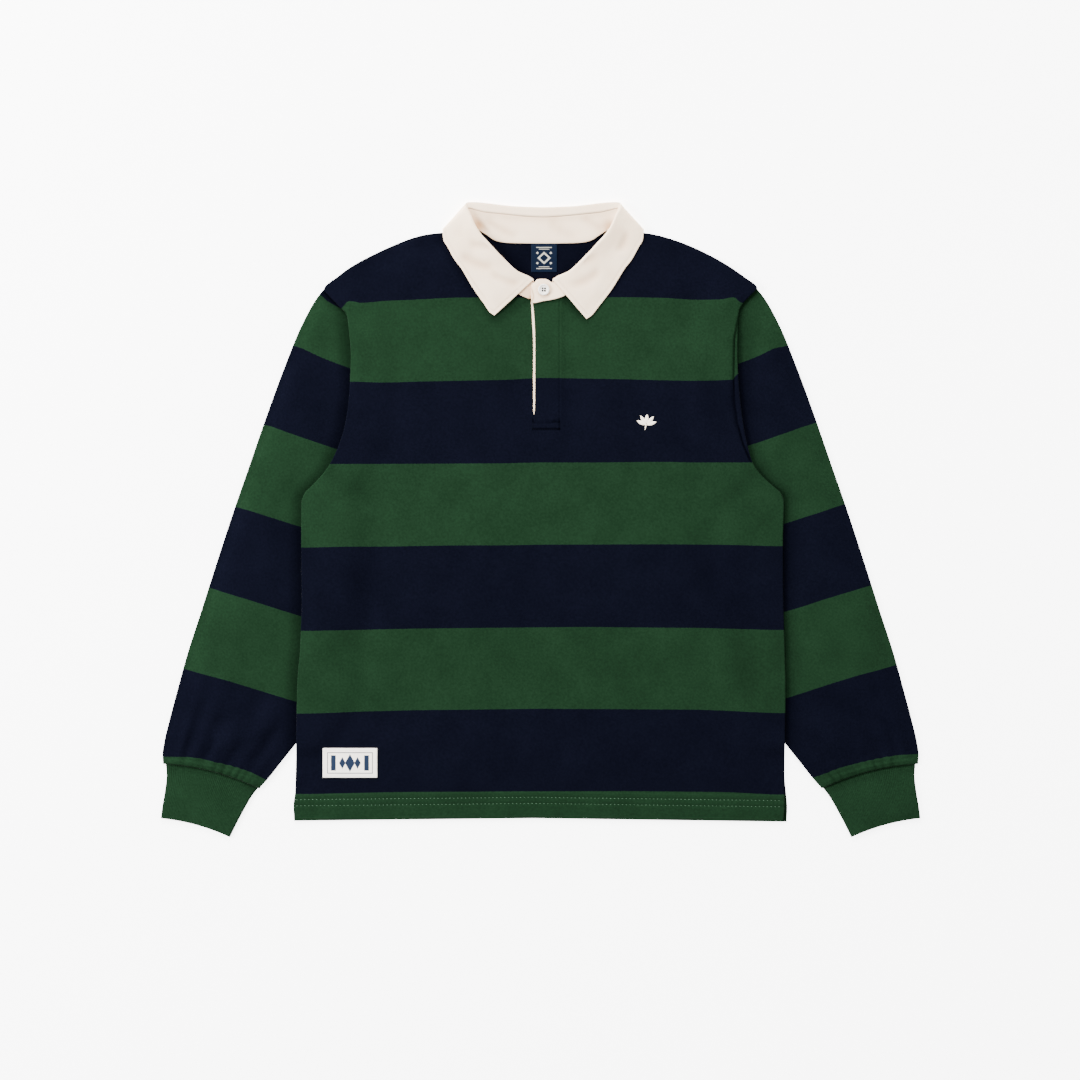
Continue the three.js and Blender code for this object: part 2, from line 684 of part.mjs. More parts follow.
function twillStrip(name, sections, thickness) {
  const columns = sections[0].length;
  const { upper, lower } = offsetSkins(sections.flat(), sections.length, columns, thickness);
  return named(name, wall(upper, lower, gridFaces(sections.length, columns)), creamTwill());
}

// The stand: from the seam up to just under the fall
const STAND_STEPS = 4;
const STAND_CLEARANCE = 1.95;
function standSection(seam, top, clearance) {
  const length = seam.distanceTo(top);
  const stop = 1 - clearance / length;
  return Array.from({ length: STAND_STEPS }, (_, i) => {
    const w = (stop * i) / (STAND_STEPS - 1);
    const point = seam.clone().lerp(top, w);
    point.z += 0.8 * Math.sin(Math.PI * w) * smoothstep(top.z, 6, 11);
    return point;
  });
}

function collarStand() {
  const ring = collarRing();
  const first = ring[0].seam.z;
  const last = ring[ring.length - 1].seam.z;
  const end = ([x, seamY, topY], z) => standSection(
    new THREE.Vector3(x, seamY, z), new THREE.Vector3(x, topY, z), 0,
  );
  const sections = [
    ...STAND_UNDER_END.map((row) => end(row, first)),
    ...refined(ring.map(({ seam, top }) => standSection(seam, top, STAND_CLEARANCE))),
    ...STAND_OVER_END.map((row) => end(row, last)),
  ];
  return twillStrip("collar_stand", sections, TWILL);
}

// The fall: up from the stand, over the roll, and out to its free edge
const FALL_STEPS = 6;
function fallSection({ top, roll, turn, lay, edge }) {
  const flat = (v) => new THREE.Vector3(v.x, v.y, 0);
  const back = flat(top).sub(flat(roll)).normalize();
  const out = flat(edge).sub(flat(roll)).normalize();
  const before = roll.clone().addScaledVector(back, 1.1);
  before.z -= turn;
  const after = roll.clone().addScaledVector(out, 1.5);
  after.z += turn;
  const heights = curveThrough([[0, after.z], [0.42, lay], [1, edge.z]]);
  const rest = Array.from({ length: FALL_STEPS }, (_, i) => {
    const share = (i + 1) / FALL_STEPS;
    const point = after.clone().lerp(edge, share);
    point.z = heights(share);
    return point;
  });
  return [top, before, roll, after, ...rest];
}

function collarLeaf() {
  return twillStrip("collar_leaf", refined(collarRing().map(fallSection)), TWILL);
}

// Height of a panel's upper skin at a place, from the face that lies there
function heightOn(panel) {
  const position = panel.geometry.getAttribute("position");
  const index = panel.geometry.index.array;
  const corner = (i) => [position.getX(i), position.getY(i), position.getZ(i)];
  return (x, y) => {
    let height = -Infinity;
    for (let i = 0; i < index.length; i += 3) {
      const [[ax, ay, az], [bx, by, bz], [cx, cy, cz]] = [0, 1, 2].map((k) => corner(index[i + k]));
      const area = (by - cy) * (ax - cx) + (cx - bx) * (ay - cy);
      const p = ((by - cy) * (x - cx) + (cx - bx) * (y - cy)) / area;
      const q = ((cy - ay) * (x - cx) + (ax - cx) * (y - cy)) / area;
      if (p >= 0 && q >= 0 && p + q <= 1) {
        height = Math.max(height, p * az + q * bz + (1 - p - q) * cz);
      }
    }
    return height;
  };
}

// A small flat piece made from the points of what it lies on, moved up
function layer(name, corners, rows, columns, base, thickness, material) {
  const lower = [];
  for (let row = 0; row < rows; row += 1) {
    for (let column = 0; column < columns; column += 1) {
      const v = row / (rows - 1);
      const u = column / (columns - 1);
      const x = lerp(lerp(corners[0][0], corners[1][0], u), lerp(corners[3][0], corners[2][0], u), v);
      const y = lerp(lerp(corners[0][1], corners[1][1], u), lerp(corners[3][1], corners[2][1], u), v);
      lower.push([x, y, base(x, y)]);
    }
  }
  const upper = lower.map(([x, y, z]) => [x, y, z + thickness]);
  return named(name, wall(upper, lower, gridFaces(rows, columns)), material);
}

const boxCorners = ({ left, right, top, bottom }) => [
  [left, top], [right, top], [right, bottom], [left, bottom],
];

// The facing fills the slit's left side and lies under its right edge
const FACING_TOP = 0.2;
const FACING_TIP = 0.75;
function placketFacing() {
  const column = LEFT_COLUMNS.length - 1;
  const edge = bodyPlan(frontTopLine, () => 0).slice(0, SLIT_ROWS + 1).map((row) => row[column]);
  const between = ([ax, ay], [bx, by], t) => [lerp(ax, bx, t), lerp(ay, by, t)];
  const route = [
    between(edge[0], edge[1], FACING_TOP),
    ...edge.slice(1, SLIT_ROWS),
    between(edge[SLIT_ROWS - 1], [slitLeft(-1e3), edge[SLIT_ROWS][1]], FACING_TIP),
  ];
  const lower = route.flatMap(([left, y]) => (
    [left + 1.3 * GAP, slitRight(y) + 0.5, 6, PLACKET_RIGHT_X].map((x) => [x, y, frontBase(x, y)])
  ));
  const upper = lower.map(([x, y, z]) => [x, y, z + TAPE]);
  return named("placket_facing", wall(upper, lower, gridFaces(route.length, 4)), creamTwill());
}

// Merges a closed geometry's points so that it can be joined and cut
const MERGE_PER_MM = 1e5;
function solidOf(wasm, geometry) {
  const source = geometry.index ? geometry.toNonIndexed() : geometry;
  const position = source.getAttribute("position");
  const keys = new Map();
  const vertices = [];
  const triangles = [];
  for (let i = 0; i < position.count; i += 1) {
    const point = [position.getX(i), position.getY(i), position.getZ(i)]
      .map((v) => Math.round(v * MERGE_PER_MM) / MERGE_PER_MM);
    const key = point.join(" ");
    if (!keys.has(key)) {
      keys.set(key, keys.size);
      vertices.push(...point);
    }
    triangles.push(keys.get(key));
  }
  const whole = [];
  for (let i = 0; i < triangles.length; i += 3) {
    const [a, b, c] = triangles.slice(i, i + 3);
    if (a !== b && b !== c && c !== a) {
      whole.push(a, b, c);
    }
  }
  const mesh = new wasm.Mesh({
    numProp: 3,
    vertProperties: Float32Array.from(vertices),
    triVerts: Uint32Array.from(whole),
  });
  return new wasm.Manifold(mesh);
}

// Four-hole button with a raised rim and a dished middle
function button(wasm) {
  const half = BUTTON_THICKNESS / 2;
  const profile = [
    [0, -half], [5.6, -half], [6.6, -half + 0.5], [BUTTON_RADIUS, 0.1], [6.7, half - 0.35],
    [6.1, half], [5.2, half - 0.1], [4.4, half - 0.75], [0, half - 0.9],
  ].map(([radius, height]) => new THREE.Vector2(radius, height));
  const disc = new THREE.LatheGeometry(profile, 28);
  disc.rotateX(Math.PI / 2);
  let solid = solidOf(wasm, disc);
  for (let i = 0; i < 4; i += 1) {
    const angle = Math.PI / 4 + (i * Math.PI) / 2;
    const hole = new THREE.CylinderGeometry(BUTTON_HOLE_RADIUS, BUTTON_HOLE_RADIUS, 6, 8);
    hole.rotateX(Math.PI / 2);
    hole.translate(BUTTON_HOLE_REACH * Math.cos(angle), BUTTON_HOLE_REACH * Math.sin(angle), 0);
    solid = solid.subtract(solidOf(wasm, hole));
  }
  const cut = solid.getMesh();
  const geometry = new THREE.BufferGeometry();
  geometry.setAttribute("position", new THREE.Float32BufferAttribute(cut.vertProperties, 3));
  geometry.setIndex(Array.from(cut.triVerts));
  geometry.computeVertexNormals();
  return named("button", geometry, clothMaterial(COLOURS.button, 0.3));
}

const wasm = await Module();
wasm.setup();

const shirt = new THREE.Group();
const ring = collarRing();
const buttonMesh = button(wasm);
const standTop = ring[ring.length - 1].seam.z + TWILL / 2;
buttonMesh.position.set(BUTTON_PLACE[0], BUTTON_PLACE[1], standTop + GAP + BUTTON_THICKNESS / 2);
const back = backPanel();
const front = frontPanel();
const onBack = heightOn(back);
const onFront = heightOn(front);
shirt.add(
  back,
  front,
  sleeve("sleeve_left", -1, 0.4),
  sleeve("sleeve_right", 1, 2.1),
  cuff("cuff_left", -1),
  cuff("cuff_right", 1),
  collarStand(),
  collarLeaf(),
  placketFacing(),
  layer("neck_label", boxCorners(NECK_LABEL), 6, 4, (x, y) => onBack(x, y) + GAP, LABEL,
    clothMaterial(COLOURS.satin, 0.4)),
  layer("patch_label", boxCorners(PATCH_LABEL), 6, 8, (x, y) => onFront(x, y) + GAP + PATCH_EASE, PATCH,
    creamTwill()),
  buttonMesh,
);

export default shirt;
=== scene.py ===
"""Dresses a long-sleeved rugby shirt that is laid flat, face up, and seen from straight above.

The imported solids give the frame. Each cloth piece is worked out again here as a finer closed shell on its
solid's form, with folds, rounded edges, seam grooves, knit and stitching. Tables are in millimetres, with
+X to the viewer's right, +Y to the collar and +Z up from the floor.
"""

import logging
import math
from dataclasses import dataclass
from enum import Enum
from typing import Callable, Optional, Sequence

import bpy
import numpy as np
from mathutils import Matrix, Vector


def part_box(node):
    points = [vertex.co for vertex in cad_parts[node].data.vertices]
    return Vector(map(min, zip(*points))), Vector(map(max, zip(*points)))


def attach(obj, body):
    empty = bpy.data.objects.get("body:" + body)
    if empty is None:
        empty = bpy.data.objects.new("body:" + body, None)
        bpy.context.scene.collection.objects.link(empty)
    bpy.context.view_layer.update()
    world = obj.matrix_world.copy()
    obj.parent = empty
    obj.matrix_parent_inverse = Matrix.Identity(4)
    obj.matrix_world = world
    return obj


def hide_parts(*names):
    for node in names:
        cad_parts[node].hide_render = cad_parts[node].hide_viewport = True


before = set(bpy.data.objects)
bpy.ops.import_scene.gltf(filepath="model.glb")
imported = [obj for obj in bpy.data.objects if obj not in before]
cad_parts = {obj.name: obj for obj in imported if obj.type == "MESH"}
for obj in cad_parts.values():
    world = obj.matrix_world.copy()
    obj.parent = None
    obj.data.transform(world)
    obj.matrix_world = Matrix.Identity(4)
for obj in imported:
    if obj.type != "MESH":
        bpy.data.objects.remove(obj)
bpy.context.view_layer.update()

MM = 0.001
GAP = 0.3
JERSEY = 1.4
TWILL = 1.5
RIB_WALL = 1.7
TAPE = 1.0
TUBE_FLAT = 2 * JERSEY + GAP
SLEEVE_LIFT = TUBE_FLAT + GAP + 0.25
COLLAR_LIFT = TWILL + 1.5 * GAP
NECK_X = 3.1
NECK_REACH = 91.2
STRIPE = 100.0
SEED = 20

Array = np.ndarray
Object = bpy.types.Object
Material = bpy.types.Material
Socket = bpy.types.NodeSocket
Box = tuple[float, float, float, float]
TopLine = Callable[[Array], Array]
Height = Callable[[Array, Array], Array]

# Body edges, top to bottom: height up the shirt, then the edge's place across it
LEFT_EDGE = (
    (275.4, -260.2), (265.2, -250.3), (254.4, -240), (247.2, -232.6), (228, -229.9), (198, -227.5),
    (168, -228.4), (141.6, -230.2), (112.8, -234.7), (96, -239.5), (78, -246.7), (58.8, -258.1),
    (42, -273.1), (32.4, -282.7), (20.4, -286.6), (-24, -286.8), (-96, -286.3), (-150, -288),
    (-198, -291.7), (-270, -293), (-326.4, -294.5), (-342, -296.4), (-360.6, -295.6),
)
RIGHT_EDGE = (
    (277.7, 259.9), (268.8, 251.3), (259.4, 242.3), (250.8, 237.6), (228, 236.2), (198, 235.9),
    (170.4, 237.1), (141.6, 239.5), (111.6, 243.5), (91.2, 247.6), (70.8, 253.1), (56.4, 262.1),
    (40.8, 278.3), (31.8, 288.5), (20.4, 291.6), (-24, 290.4), (-96, 290.9), (-150, 292.3),
    (-198, 293.5), (-270, 292.8), (-343.2, 292.3), (-361.8, 290.9),
)
# The back panel's side vent: height, then how far it shows past the front
VENT_FLARE = ((-309, 0), (-329, 2.2), (-341, 3.4), (-361.8, 4.2))

# Shoulder lines: place across, then height
LEFT_SHOULDER = (
    (-260.2, 275.4), (-257.5, 280.8), (-247.9, 288), (-228.7, 302.4), (-203.5, 316.8), (-172.3, 331.2),
    (-153.1, 338.4), (-138.7, 342), (-120.7, 344.2), (-102.7, 345.6), (-88.1, 348.6),
)
RIGHT_SHOULDER = (
    (94.3, 348.6), (109.7, 345.6), (126.5, 343.9), (140.9, 341.4), (154.1, 337.8), (173.3, 331.2),
    (204.5, 316.8), (228.5, 302.4), (248.9, 288), (258.5, 280.8), (259.9, 277.7),
)
# Necklines: reach out from the neck's centre line, then height
FRONT_NECK = (
    (0, 263.3), (9.6, 263.5), (15.6, 267), (25.2, 272.4), (39, 280.8), (52.8, 293.4), (66, 309.6),
    (75.6, 324.6), (82.2, 336), (86.8, 343.8), (91.2, 348.6),
)
BACK_NECK = (
    (0, 335), (39.6, 335.6), (49.2, 336.6), (58.8, 339), (68.4, 345), (75.6, 348.2), (84, 349.7),
    (91.2, 348.6),
)
# Placket slit: height, then its left and right edges
SLIT = (
    (266, -12.4, -10), (235.6, -10.6, -7.2), (210, -9.4, -6.5), (136, -9.4, -6.8), (121.3, -8.2, -8.2),
)

# The hem's lower edge: place across, then height
HEM_LINE = ((-295.6, -360.6), (-8.3, -357.6), (290.9, -361.8))
HEM_TURNING = 0.6
HEM_DEPTH = 31.5
HEM_STITCHES = (25.2, 17.8)
# Heights of the placket box's two rows of stitches
BOX_ROWS = (117.6, 108.7)

# Lower edges of the shoulders' stripe, lifted over the folds at both armholes, and of the stripe below
# it, which steps up at the right armhole's seam: places across, then heights
SHOULDER_STRIPE = (
    (-275, 248), (-239, 253.4), (-232.6, 260.6), (-228.2, 262.8), (-223.9, 262.3), (-218.2, 259.9),
    (-202.3, 260.9), (-190, 262.3), (-145, 264.3), (-95, 266.6), (5, 266.8),
    (12, 266.8), (24, 271), (48, 271), (66, 266.9), (95, 266.9),
    (145, 266.2), (190, 263.8), (215, 264.1), (232.1, 266.8), (239, 260.5), (275, 256),
)
CHEST_STRIPE = (
    (-275, 165.6), (-220, 165.5), (-190, 164.6), (-145, 165.8), (-95, 166.8), (-45, 167.9),
    (5, 170.3), (55, 169.4), (95, 168.7), (145, 167.4), (190, 166.7), (230.9, 168.2),
    (231.8, 170.4), (237.5, 175.4), (280, 176),
)
# Lower edges of the body's other stripes, at places across
STRIPE_X = (-275, -220, -190, -145, -95, -45, 5, 55, 95, 145, 190, 215, 280)
BODY_STRIPES = (
    (67.1, 67.1, 67.2, 67.4, 67.6, 67.9, 68.9, 68.9, 69.2, 69.6, 68.9, 68.9, 68.9),
    (-33, -31.9, -31.9, -31.2, -30.5, -30.4, -29.6, -29.5, -29.3, -29.2, -29.5, -29.7, -31.4),
    (-132.8, -131.7, -131, -130.1, -129.6, -129.1, -128.6, -128.2, -128.6, -129, -129.3, -130, -131.7),
    (-231.9, -229.8, -229, -227.9, -227.4, -226.8, -226.3, -226.6, -226.8, -227.1, -227.4, -228.4, -231.3),
    (-328.5, -327.2, -326.5, -325.9, -325.7, -325.4, -325.2, -325.1, -325, -325.4, -325.8, -326.1, -329.2),
)
# The same edges on each sleeve, as places across and heights, from the shoulder to the cuff
LEFT_SLEEVE_STRIPES = (
    ((-264, 269.3), (-255.1, 261.8), (-247.9, 257.8), (-240, 253.7)),
    ((-294.7, 208.8), (-288.7, 207), (-264.7, 196), (-246.7, 188.8), (-228.7, 182.4)),
    ((-330.7, 114), (-324.7, 112.6), (-300.7, 104), (-264.7, 91.7), (-246.7, 85.7)),
    ((-360.7, 14.4), (-348.7, 11), (-324.7, 3.4), (-288.7, -8)),
    ((-395.5, -81.6), (-372.7, -88.8), (-348.7, -96), (-324.7, -103.7), (-288.7, -115.1)),
    ((-430.3, -177.6), (-408.7, -183.7), (-372.7, -193.4), (-348.7, -200.8), (-300.7, -215.6)),
    ((-453.1, -283.8), (-426.7, -283.9), (-408.7, -285.6), (-390.7, -289.9), (-372.7, -293.9),
     (-348.7, -301.6), (-327.1, -312)),
)
RIGHT_SLEEVE_STRIPES = (
    ((240, 262), (250, 272), (262, 284)),
    ((237, 187.5), (263.3, 197.6), (281, 206), (291, 208)),
    ((263.3, 93.7), (287.3, 102.1), (299.3, 106.2), (311.3, 110.6)),
    ((299.3, -2.4), (311.3, 1.6), (335.3, 9.2), (359.3, 17.3)),
    ((299.3, -108.2), (311.3, -104.8), (335.3, -96.7), (359.3, -89.3), (383.3, -82.2)),
    ((311.3, -208.4), (335.3, -200.4), (359.3, -192.7), (383.3, -185.5), (407.3, -179.2)),
    ((335.3, -305.9), (359.3, -296.8), (383.3, -290.5), (407.3, -285.2), (431.3, -281.5),
     (452, -280.6)),
)

# Sleeve sections, shoulder to cuff: outer edge x, y, inner edge x, y, and the section's bow
SLEEVE = (
    (-249.5, 288.4, -263.5, 27.6, 40.5), (-268.2, 266.6, -262.3, 22.8, 36),
    (-287.5, 231.6, -261.1, 15.6, 31.2), (-306.7, 184.8, -258.7, 3.6, 25.2),
    (-327.1, 129.6, -256.3, -15.6, 18), (-348.7, 67.2, -253.9, -43.2, 10.8),
    (-370.3, 4.8, -251.5, -78, 4.8), (-389.5, -54, -250.3, -120, 1.2),
    (-407.5, -110.4, -252.7, -168, 0), (-423.1, -158.4, -261.1, -212.4, 0),
    (-435.1, -201.6, -274.3, -243.6, 1.2), (-444.7, -237.6, -292.3, -266.8, 2.4),
    (-451.2, -264.4, -310.5, -289.6, 4.8), (-453.6, -280.8, -327.1, -310.6, 6.4),
    (-453, -290.4, -336, -320.4, 6.2),
)
# How much each sleeve section stands up as puff above the cuff, from 0 to 1
PUFF = (0, 0, 0, 0, 0, 0, 0, 0, 0, 0.1, 0.35, 0.7, 1, 0.8, 0.1)
# Cuff sections, seam to end, with the same columns as the sleeve's
CUFF = (
    (-449.6, -291.9, -338.2, -320.7, 6.2), (-448.6, -306.4, -346.3, -331.2, 5.4),
    (-451, -327.6, -354.7, -345.6, 4.2), (-453.7, -343.2, -363.7, -362.4, 3.6),
    (-455.5, -357.6, -372.7, -380.4, 3.6),
)
# Collar sections from the front end to the back's middle, the same for both halves: seam reach, y; top
# reach, y, z; roll reach, y, z; half the fold's height; height midway out; edge reach, y; side, 1 over the
# front to -1 under the back; and 1 where the stand is sewn to the front
COLLAR = (
    (15.8, 265.2, 11, 285.1, 4.4, 11.5, 287.8, 5.4, 1, 6.5, 58.4, 245, 1, 1),
    (23, 267.6, 17.9, 289.4, 4.9, 18.2, 291.9, 6.1, 1.1, 7.3, 63.8, 248.6, 1, 1),
    (31.4, 271.7, 31.4, 294.6, 6.4, 30.4, 297.2, 8.1, 1.2, 8.4, 71, 259, 1, 1),
    (45.8, 281.6, 51.2, 311.4, 9.5, 49.8, 314.8, 11.5, 1.4, 9.6, 83.8, 277.4, 1, 1),
    (62.6, 299.4, 69.4, 330.5, 11.5, 67.4, 333.5, 13.8, 1.5, 9.6, 98.2, 301.4, 1, 1),
    (72.2, 312.6, 77, 339.4, 11.9, 74.7, 341.5, 14.3, 1.5, 10, 105.8, 311.4, 1, 1),
    (81.2, 327.6, 84.7, 352.2, 11.5, 82.3, 353.6, 14, 1.5, 10.2, 114.2, 326.4, 1, 1),
    (87.2, 339, 89.8, 364.4, 10, 87.5, 365.6, 12.3, 1.4, 9.8, 119.5, 336.2, 1, 1),
    (89.9, 345, 90.7, 370.2, 8.4, 91.4, 373, 10.2, 1.2, 8.8, 120.3, 345.2, 1, 1),
    (90.2, 348.6, 89.9, 373.7, 7.2, 92.6, 377.8, 7.4, 0.5, 5.2, 120.6, 347.8, 0, 1),
    (85.4, 348.8, 86, 373, 6.3, 89.4, 380.3, 5.2, -0.8, 1.9, 119.6, 346, -1, 0.45),
    (78.2, 347.3, 79.4, 371.2, 5.7, 81.8, 380.5, 4, -1.5, 1.2, 109.4, 337.2, -1, 0.1),
    (68.6, 342, 68.6, 368.9, 5.4, 66.2, 379.2, 3.4, -1.7, 0.85, 85.4, 331.8, -1, 0),
    (56.6, 334.6, 51.8, 367.2, 5.2, 51.8, 377.4, 3.1, -1.8, 0.8, 56.6, 329.4, -1, 0),
    (39.8, 332, 33.8, 365.3, 5.1, 33.8, 375.6, 3, -1.8, 0.76, 33.8, 328.4, -1, 0),
    (0, 331.4, 0, 363.1, 5.1, 0, 374.5, 3, -1.8, 0.76, 0, 327.8, -1, 0),
)
OVERLAP_RISE = (1, 1, 0.85, 0.45, 0.12)
RIGHT_POINT_SHIFT = (-6.5, -4.2)
RIGHT_POINT_FADE = (1, 0.9, 0.55, 0.2, 0.05)
# Ends of the stand: x, y at the seam, y at the top
STAND_UNDER_END = ((11.3, 268.8, 279.6), (10.1, 266.6, 283.7), (6.5, 265.6, 287.3), (1.7, 265.3, 289),
                   (-4.3, 265.2, 288.2))
STAND_OVER_END = ((9.9, 263.2, 287), (5.3, 262.6, 288.8), (-1.1, 261.2, 288.2), (-6.7, 259.9, 285),
                  (-10.1, 260.2, 280.6), (-11.3, 263.8, 275.4))

# The sleeve's seam where it shows inside the body's right fold: place across, then height
RIGHT_ARMHOLE = ((237, 241.8), (232.3, 217.2), (231.4, 170.4), (231.8, 144), (235.4, 116.8),
                 (242.5, 91.2), (251.3, 70.8))


def smooth(value: Array, low: float, high: float) -> Array:
    """Rises from 0 at low to 1 at high along 3t^2 - 2t^3."""
    t = np.clip((np.asarray(value, float) - low) / (high - low), 0.0, 1.0)
    return t * t * (3.0 - 2.0 * t)


def lerp(start: Array, end: Array, share: Array) -> Array:
    """Goes straight from start to end as share goes from 0 to 1."""
    return start + (end - start) * share


@dataclass(frozen=True)
class Curve:
    """A smooth curve through a table's rows that never overshoots them, level past both ends.

    Between two rows it is a cubic with the rows' slopes, and a row's slope is the harmonic mean of the
    steps on both sides, or 0 where they turn.
    """

    keys: Array
    values: Array
    slopes: Array

    @classmethod
    def of(cls, keys: Sequence[float], values: Array) -> "Curve":
        """Fits the curve.

        Args:
            keys: rising keys, one for each row.
            values: one value, or one row of values, for each key.

        Returns:
            The curve.
        """
        at = np.asarray(keys, float)
        rows = np.asarray(values, float).reshape(len(at), -1)
        step = np.diff(rows, axis=0) / np.diff(at)[:, None]
        before, after = step[:-1], step[1:]
        product = before * after
        total = np.where(product > 0, before + after, 1.0)
        inner = np.where(product > 0, 2.0 * product / total, 0.0)
        return cls(at, rows, np.concatenate([step[:1], inner, step[-1:]]))

    @classmethod
    def through(cls, rows: Sequence[Sequence[float]], column: int = 1) -> "Curve":
        """Fits the curve to one column of a table whose first column holds the keys."""
        table = np.array(sorted(tuple(row) for row in rows), float)
        return cls.of(table[:, 0], table[:, column])

    def __call__(self, key: Array) -> Array:
        """Reads the curve.

        Args:
            key: places to read it at.

        Returns:
            The values, with one more axis where the table has several columns.
        """
        key = np.clip(np.asarray(key, float), self.keys[0], self.keys[-1])
        i = np.clip(np.searchsorted(self.keys, key, "right") - 1, 0, len(self.keys) - 2)
        span = (self.keys[i + 1] - self.keys[i])[..., None]
        t = (key - self.keys[i])[..., None] / span
        start = self.values[i] * (1 + 2 * t) * (1 - t) ** 2 + self.slopes[i] * span * t * (1 - t) ** 2
        end = self.values[i + 1] * t * t * (3 - 2 * t) - self.slopes[i + 1] * span * t * t * (1 - t)
        out = start + end
        return out[..., 0] if out.shape[-1] == 1 else out


@dataclass(frozen=True)
class Crease:
    """A long soft ridge of cloth on a bowed line, or a trough where its height is negative."""

    start: tuple[float, float]
    end: tuple[float, float]
    width: float
    height: float
    bow: float = 0.0

    def raised(self, x: Array, y: Array) -> Array:
        """Gives the crease's height: a bell across its line that fades in and out at its ends."""
        dx, dy = self.end[0] - self.start[0], self.end[1] - self.start[1]
        length = math.hypot(dx, dy)
        along = ((x - self.start[0]) * dx + (y - self.start[1]) * dy) / length
        off = ((x - self.start[0]) * dy - (y - self.start[1]) * dx) / length
        share = np.clip(along / length, 0.0, 1.0)
        off = off - 4.0 * self.bow * share * (1.0 - share)
        reach = min(self.width * 1.6, length / 2)
        gone = smooth(along, length - reach, length + reach * 0.4)
        fade = smooth(along, -reach * 0.4, reach) * (1.0 - gone)
        return self.height * fade * np.exp(-((off / self.width) ** 2))


def creases(*rows: Sequence[float]) -> tuple[Crease, ...]:
    """Makes creases from rows: start x, y, end x, y, width, height, and the bow where it isn't straight."""
    return tuple(Crease(row[:2], row[2:4], *row[4:]) for row in rows)


def raised_by(folds: Sequence[Crease], x: Array, y: Array) -> Array:
    """Adds up the heights of several creases."""
    return sum((crease.raised(x, y) for crease in folds), np.zeros(np.shape(x)))


def soft_noise(x: Array, y: Array, cell: float, seed: int) -> Array:
    """Gives smooth random waves: a lattice of random values with cubic blending between them.

    Args:
        x: places across.
        y: heights.
        cell: distance between two lattice points.
        seed: seed of the lattice.

    Returns:
        Values between -1 and 1.
    """
    size = 64
    lattice = np.random.default_rng(seed).uniform(-1.0, 1.0, (size, size))
    gx, gy = np.asarray(x) / cell + 1000.5, np.asarray(y) / cell + 1000.5
    ix, iy = np.floor(gx).astype(int), np.floor(gy).astype(int)
    tx, ty = smooth(gx - ix, 0, 1), smooth(gy - iy, 0, 1)
    low = lerp(lattice[ix % size, iy % size], lattice[(ix + 1) % size, iy % size], tx)
    high = lerp(lattice[ix % size, (iy + 1) % size], lattice[(ix + 1) % size, (iy + 1) % size], tx)
    return lerp(low, high, ty)


def line_distance(x: Array, y: Array, points: Sequence[Sequence[float]]) -> Array:
    """Gives the distance to a line of a few straight runs: the least of the distances to each run.

    Args:
        x: places across.
        y: heights.
        points: the line's corners.

    Returns:
        The distances.
    """
    nearest = np.full(np.shape(x), 1e9)
    for (ax, ay), (bx, by) in zip(points[:-1], points[1:]):
        dx, dy = bx - ax, by - ay
        t = np.clip(((x - ax) * dx + (y - ay) * dy) / (dx * dx + dy * dy), 0.0, 1.0)
        nearest = np.minimum(nearest, np.hypot(x - ax - t * dx, y - ay - t * dy))
    return nearest


def groove(distance: Array, depth: float, width: float) -> Array:
    """Gives a seam's valley: the depth, falling off as a bell with the distance from its line."""
    return -depth * np.exp(-((distance / width) ** 2))


def rounded(distance: Array, radius: float) -> Array:
    """Gives how far a rolled edge drops: a quarter circle within its radius from the edge."""
    t = 1.0 - np.clip(distance / radius, 0.0, 1.0)
    return radius * (1.0 - np.sqrt(np.maximum(1.0 - t * t, 0.0)))


def near_edges(length: float, step: float, close: Sequence[float]) -> Array:
    """Gives shares from 0 to 1 along a length, even in the middle and close together at both ends.

    Args:
        length: the real length in millimetres.
        step: distance between two points in the middle.
        close: distances from each end that get a point of their own.

    Returns:
        The shares, rising.
    """
    inset = np.array(close, float)
    count = max(2, int(round((length - 2 * inset[-1]) / step)) + 1)
    middle = np.linspace(inset[-1], length - inset[-1], count)[1:-1]
    return np.concatenate([[0.0], inset, middle, length - inset[::-1], [length]]) / length


# Cloth forms

LEFT = Curve.through(LEFT_EDGE)
RIGHT = Curve.through(RIGHT_EDGE)
FLARE = Curve.through(VENT_FLARE)
SLIT_LEFT = Curve.through(SLIT, 1)
SLIT_RIGHT = Curve.through(SLIT, 2)
SLEEVE_AT = Curve.of(range(len(SLEEVE)), np.array(SLEEVE))
PUFF_AT = Curve.of(range(len(PUFF)), np.array(PUFF))
CUFF_AT = Curve.of(range(len(CUFF)), np.array(CUFF))


def section_point(section: Array, share: Array) -> tuple[Array, Array]:
    """Gives x and y at a share of a sleeve's or cuff's section: a straight line between its edges, bowed."""
    outer_x, outer_y, inner_x, inner_y, bow = np.moveaxis(np.asarray(section, float), -1, 0)
    out = 4 * share * (1 - share) * bow / np.hypot(inner_x - outer_x, inner_y - outer_y)
    x = lerp(outer_x, inner_x, share) - out * (inner_y - outer_y)
    y = lerp(outer_y, inner_y, share) + out * (inner_x - outer_x)
    return x, y


def section_width(section: Array) -> Array:
    """Gives the straight distance between a section's edges."""
    return np.hypot(section[..., 2] - section[..., 0], section[..., 3] - section[..., 1])


def hidden_sleeve_edge() -> Curve:
    """Gives the sleeve's edge under the body, along its head and down its inner edge, by height."""
    head_x, head_y = section_point(np.array(SLEEVE[0]), np.arange(8) / 8)
    rows = list(zip(head_y, head_x)) + [(row[3], row[2]) for row in SLEEVE]
    return Curve.through(rows)


HIDDEN = hidden_sleeve_edge()


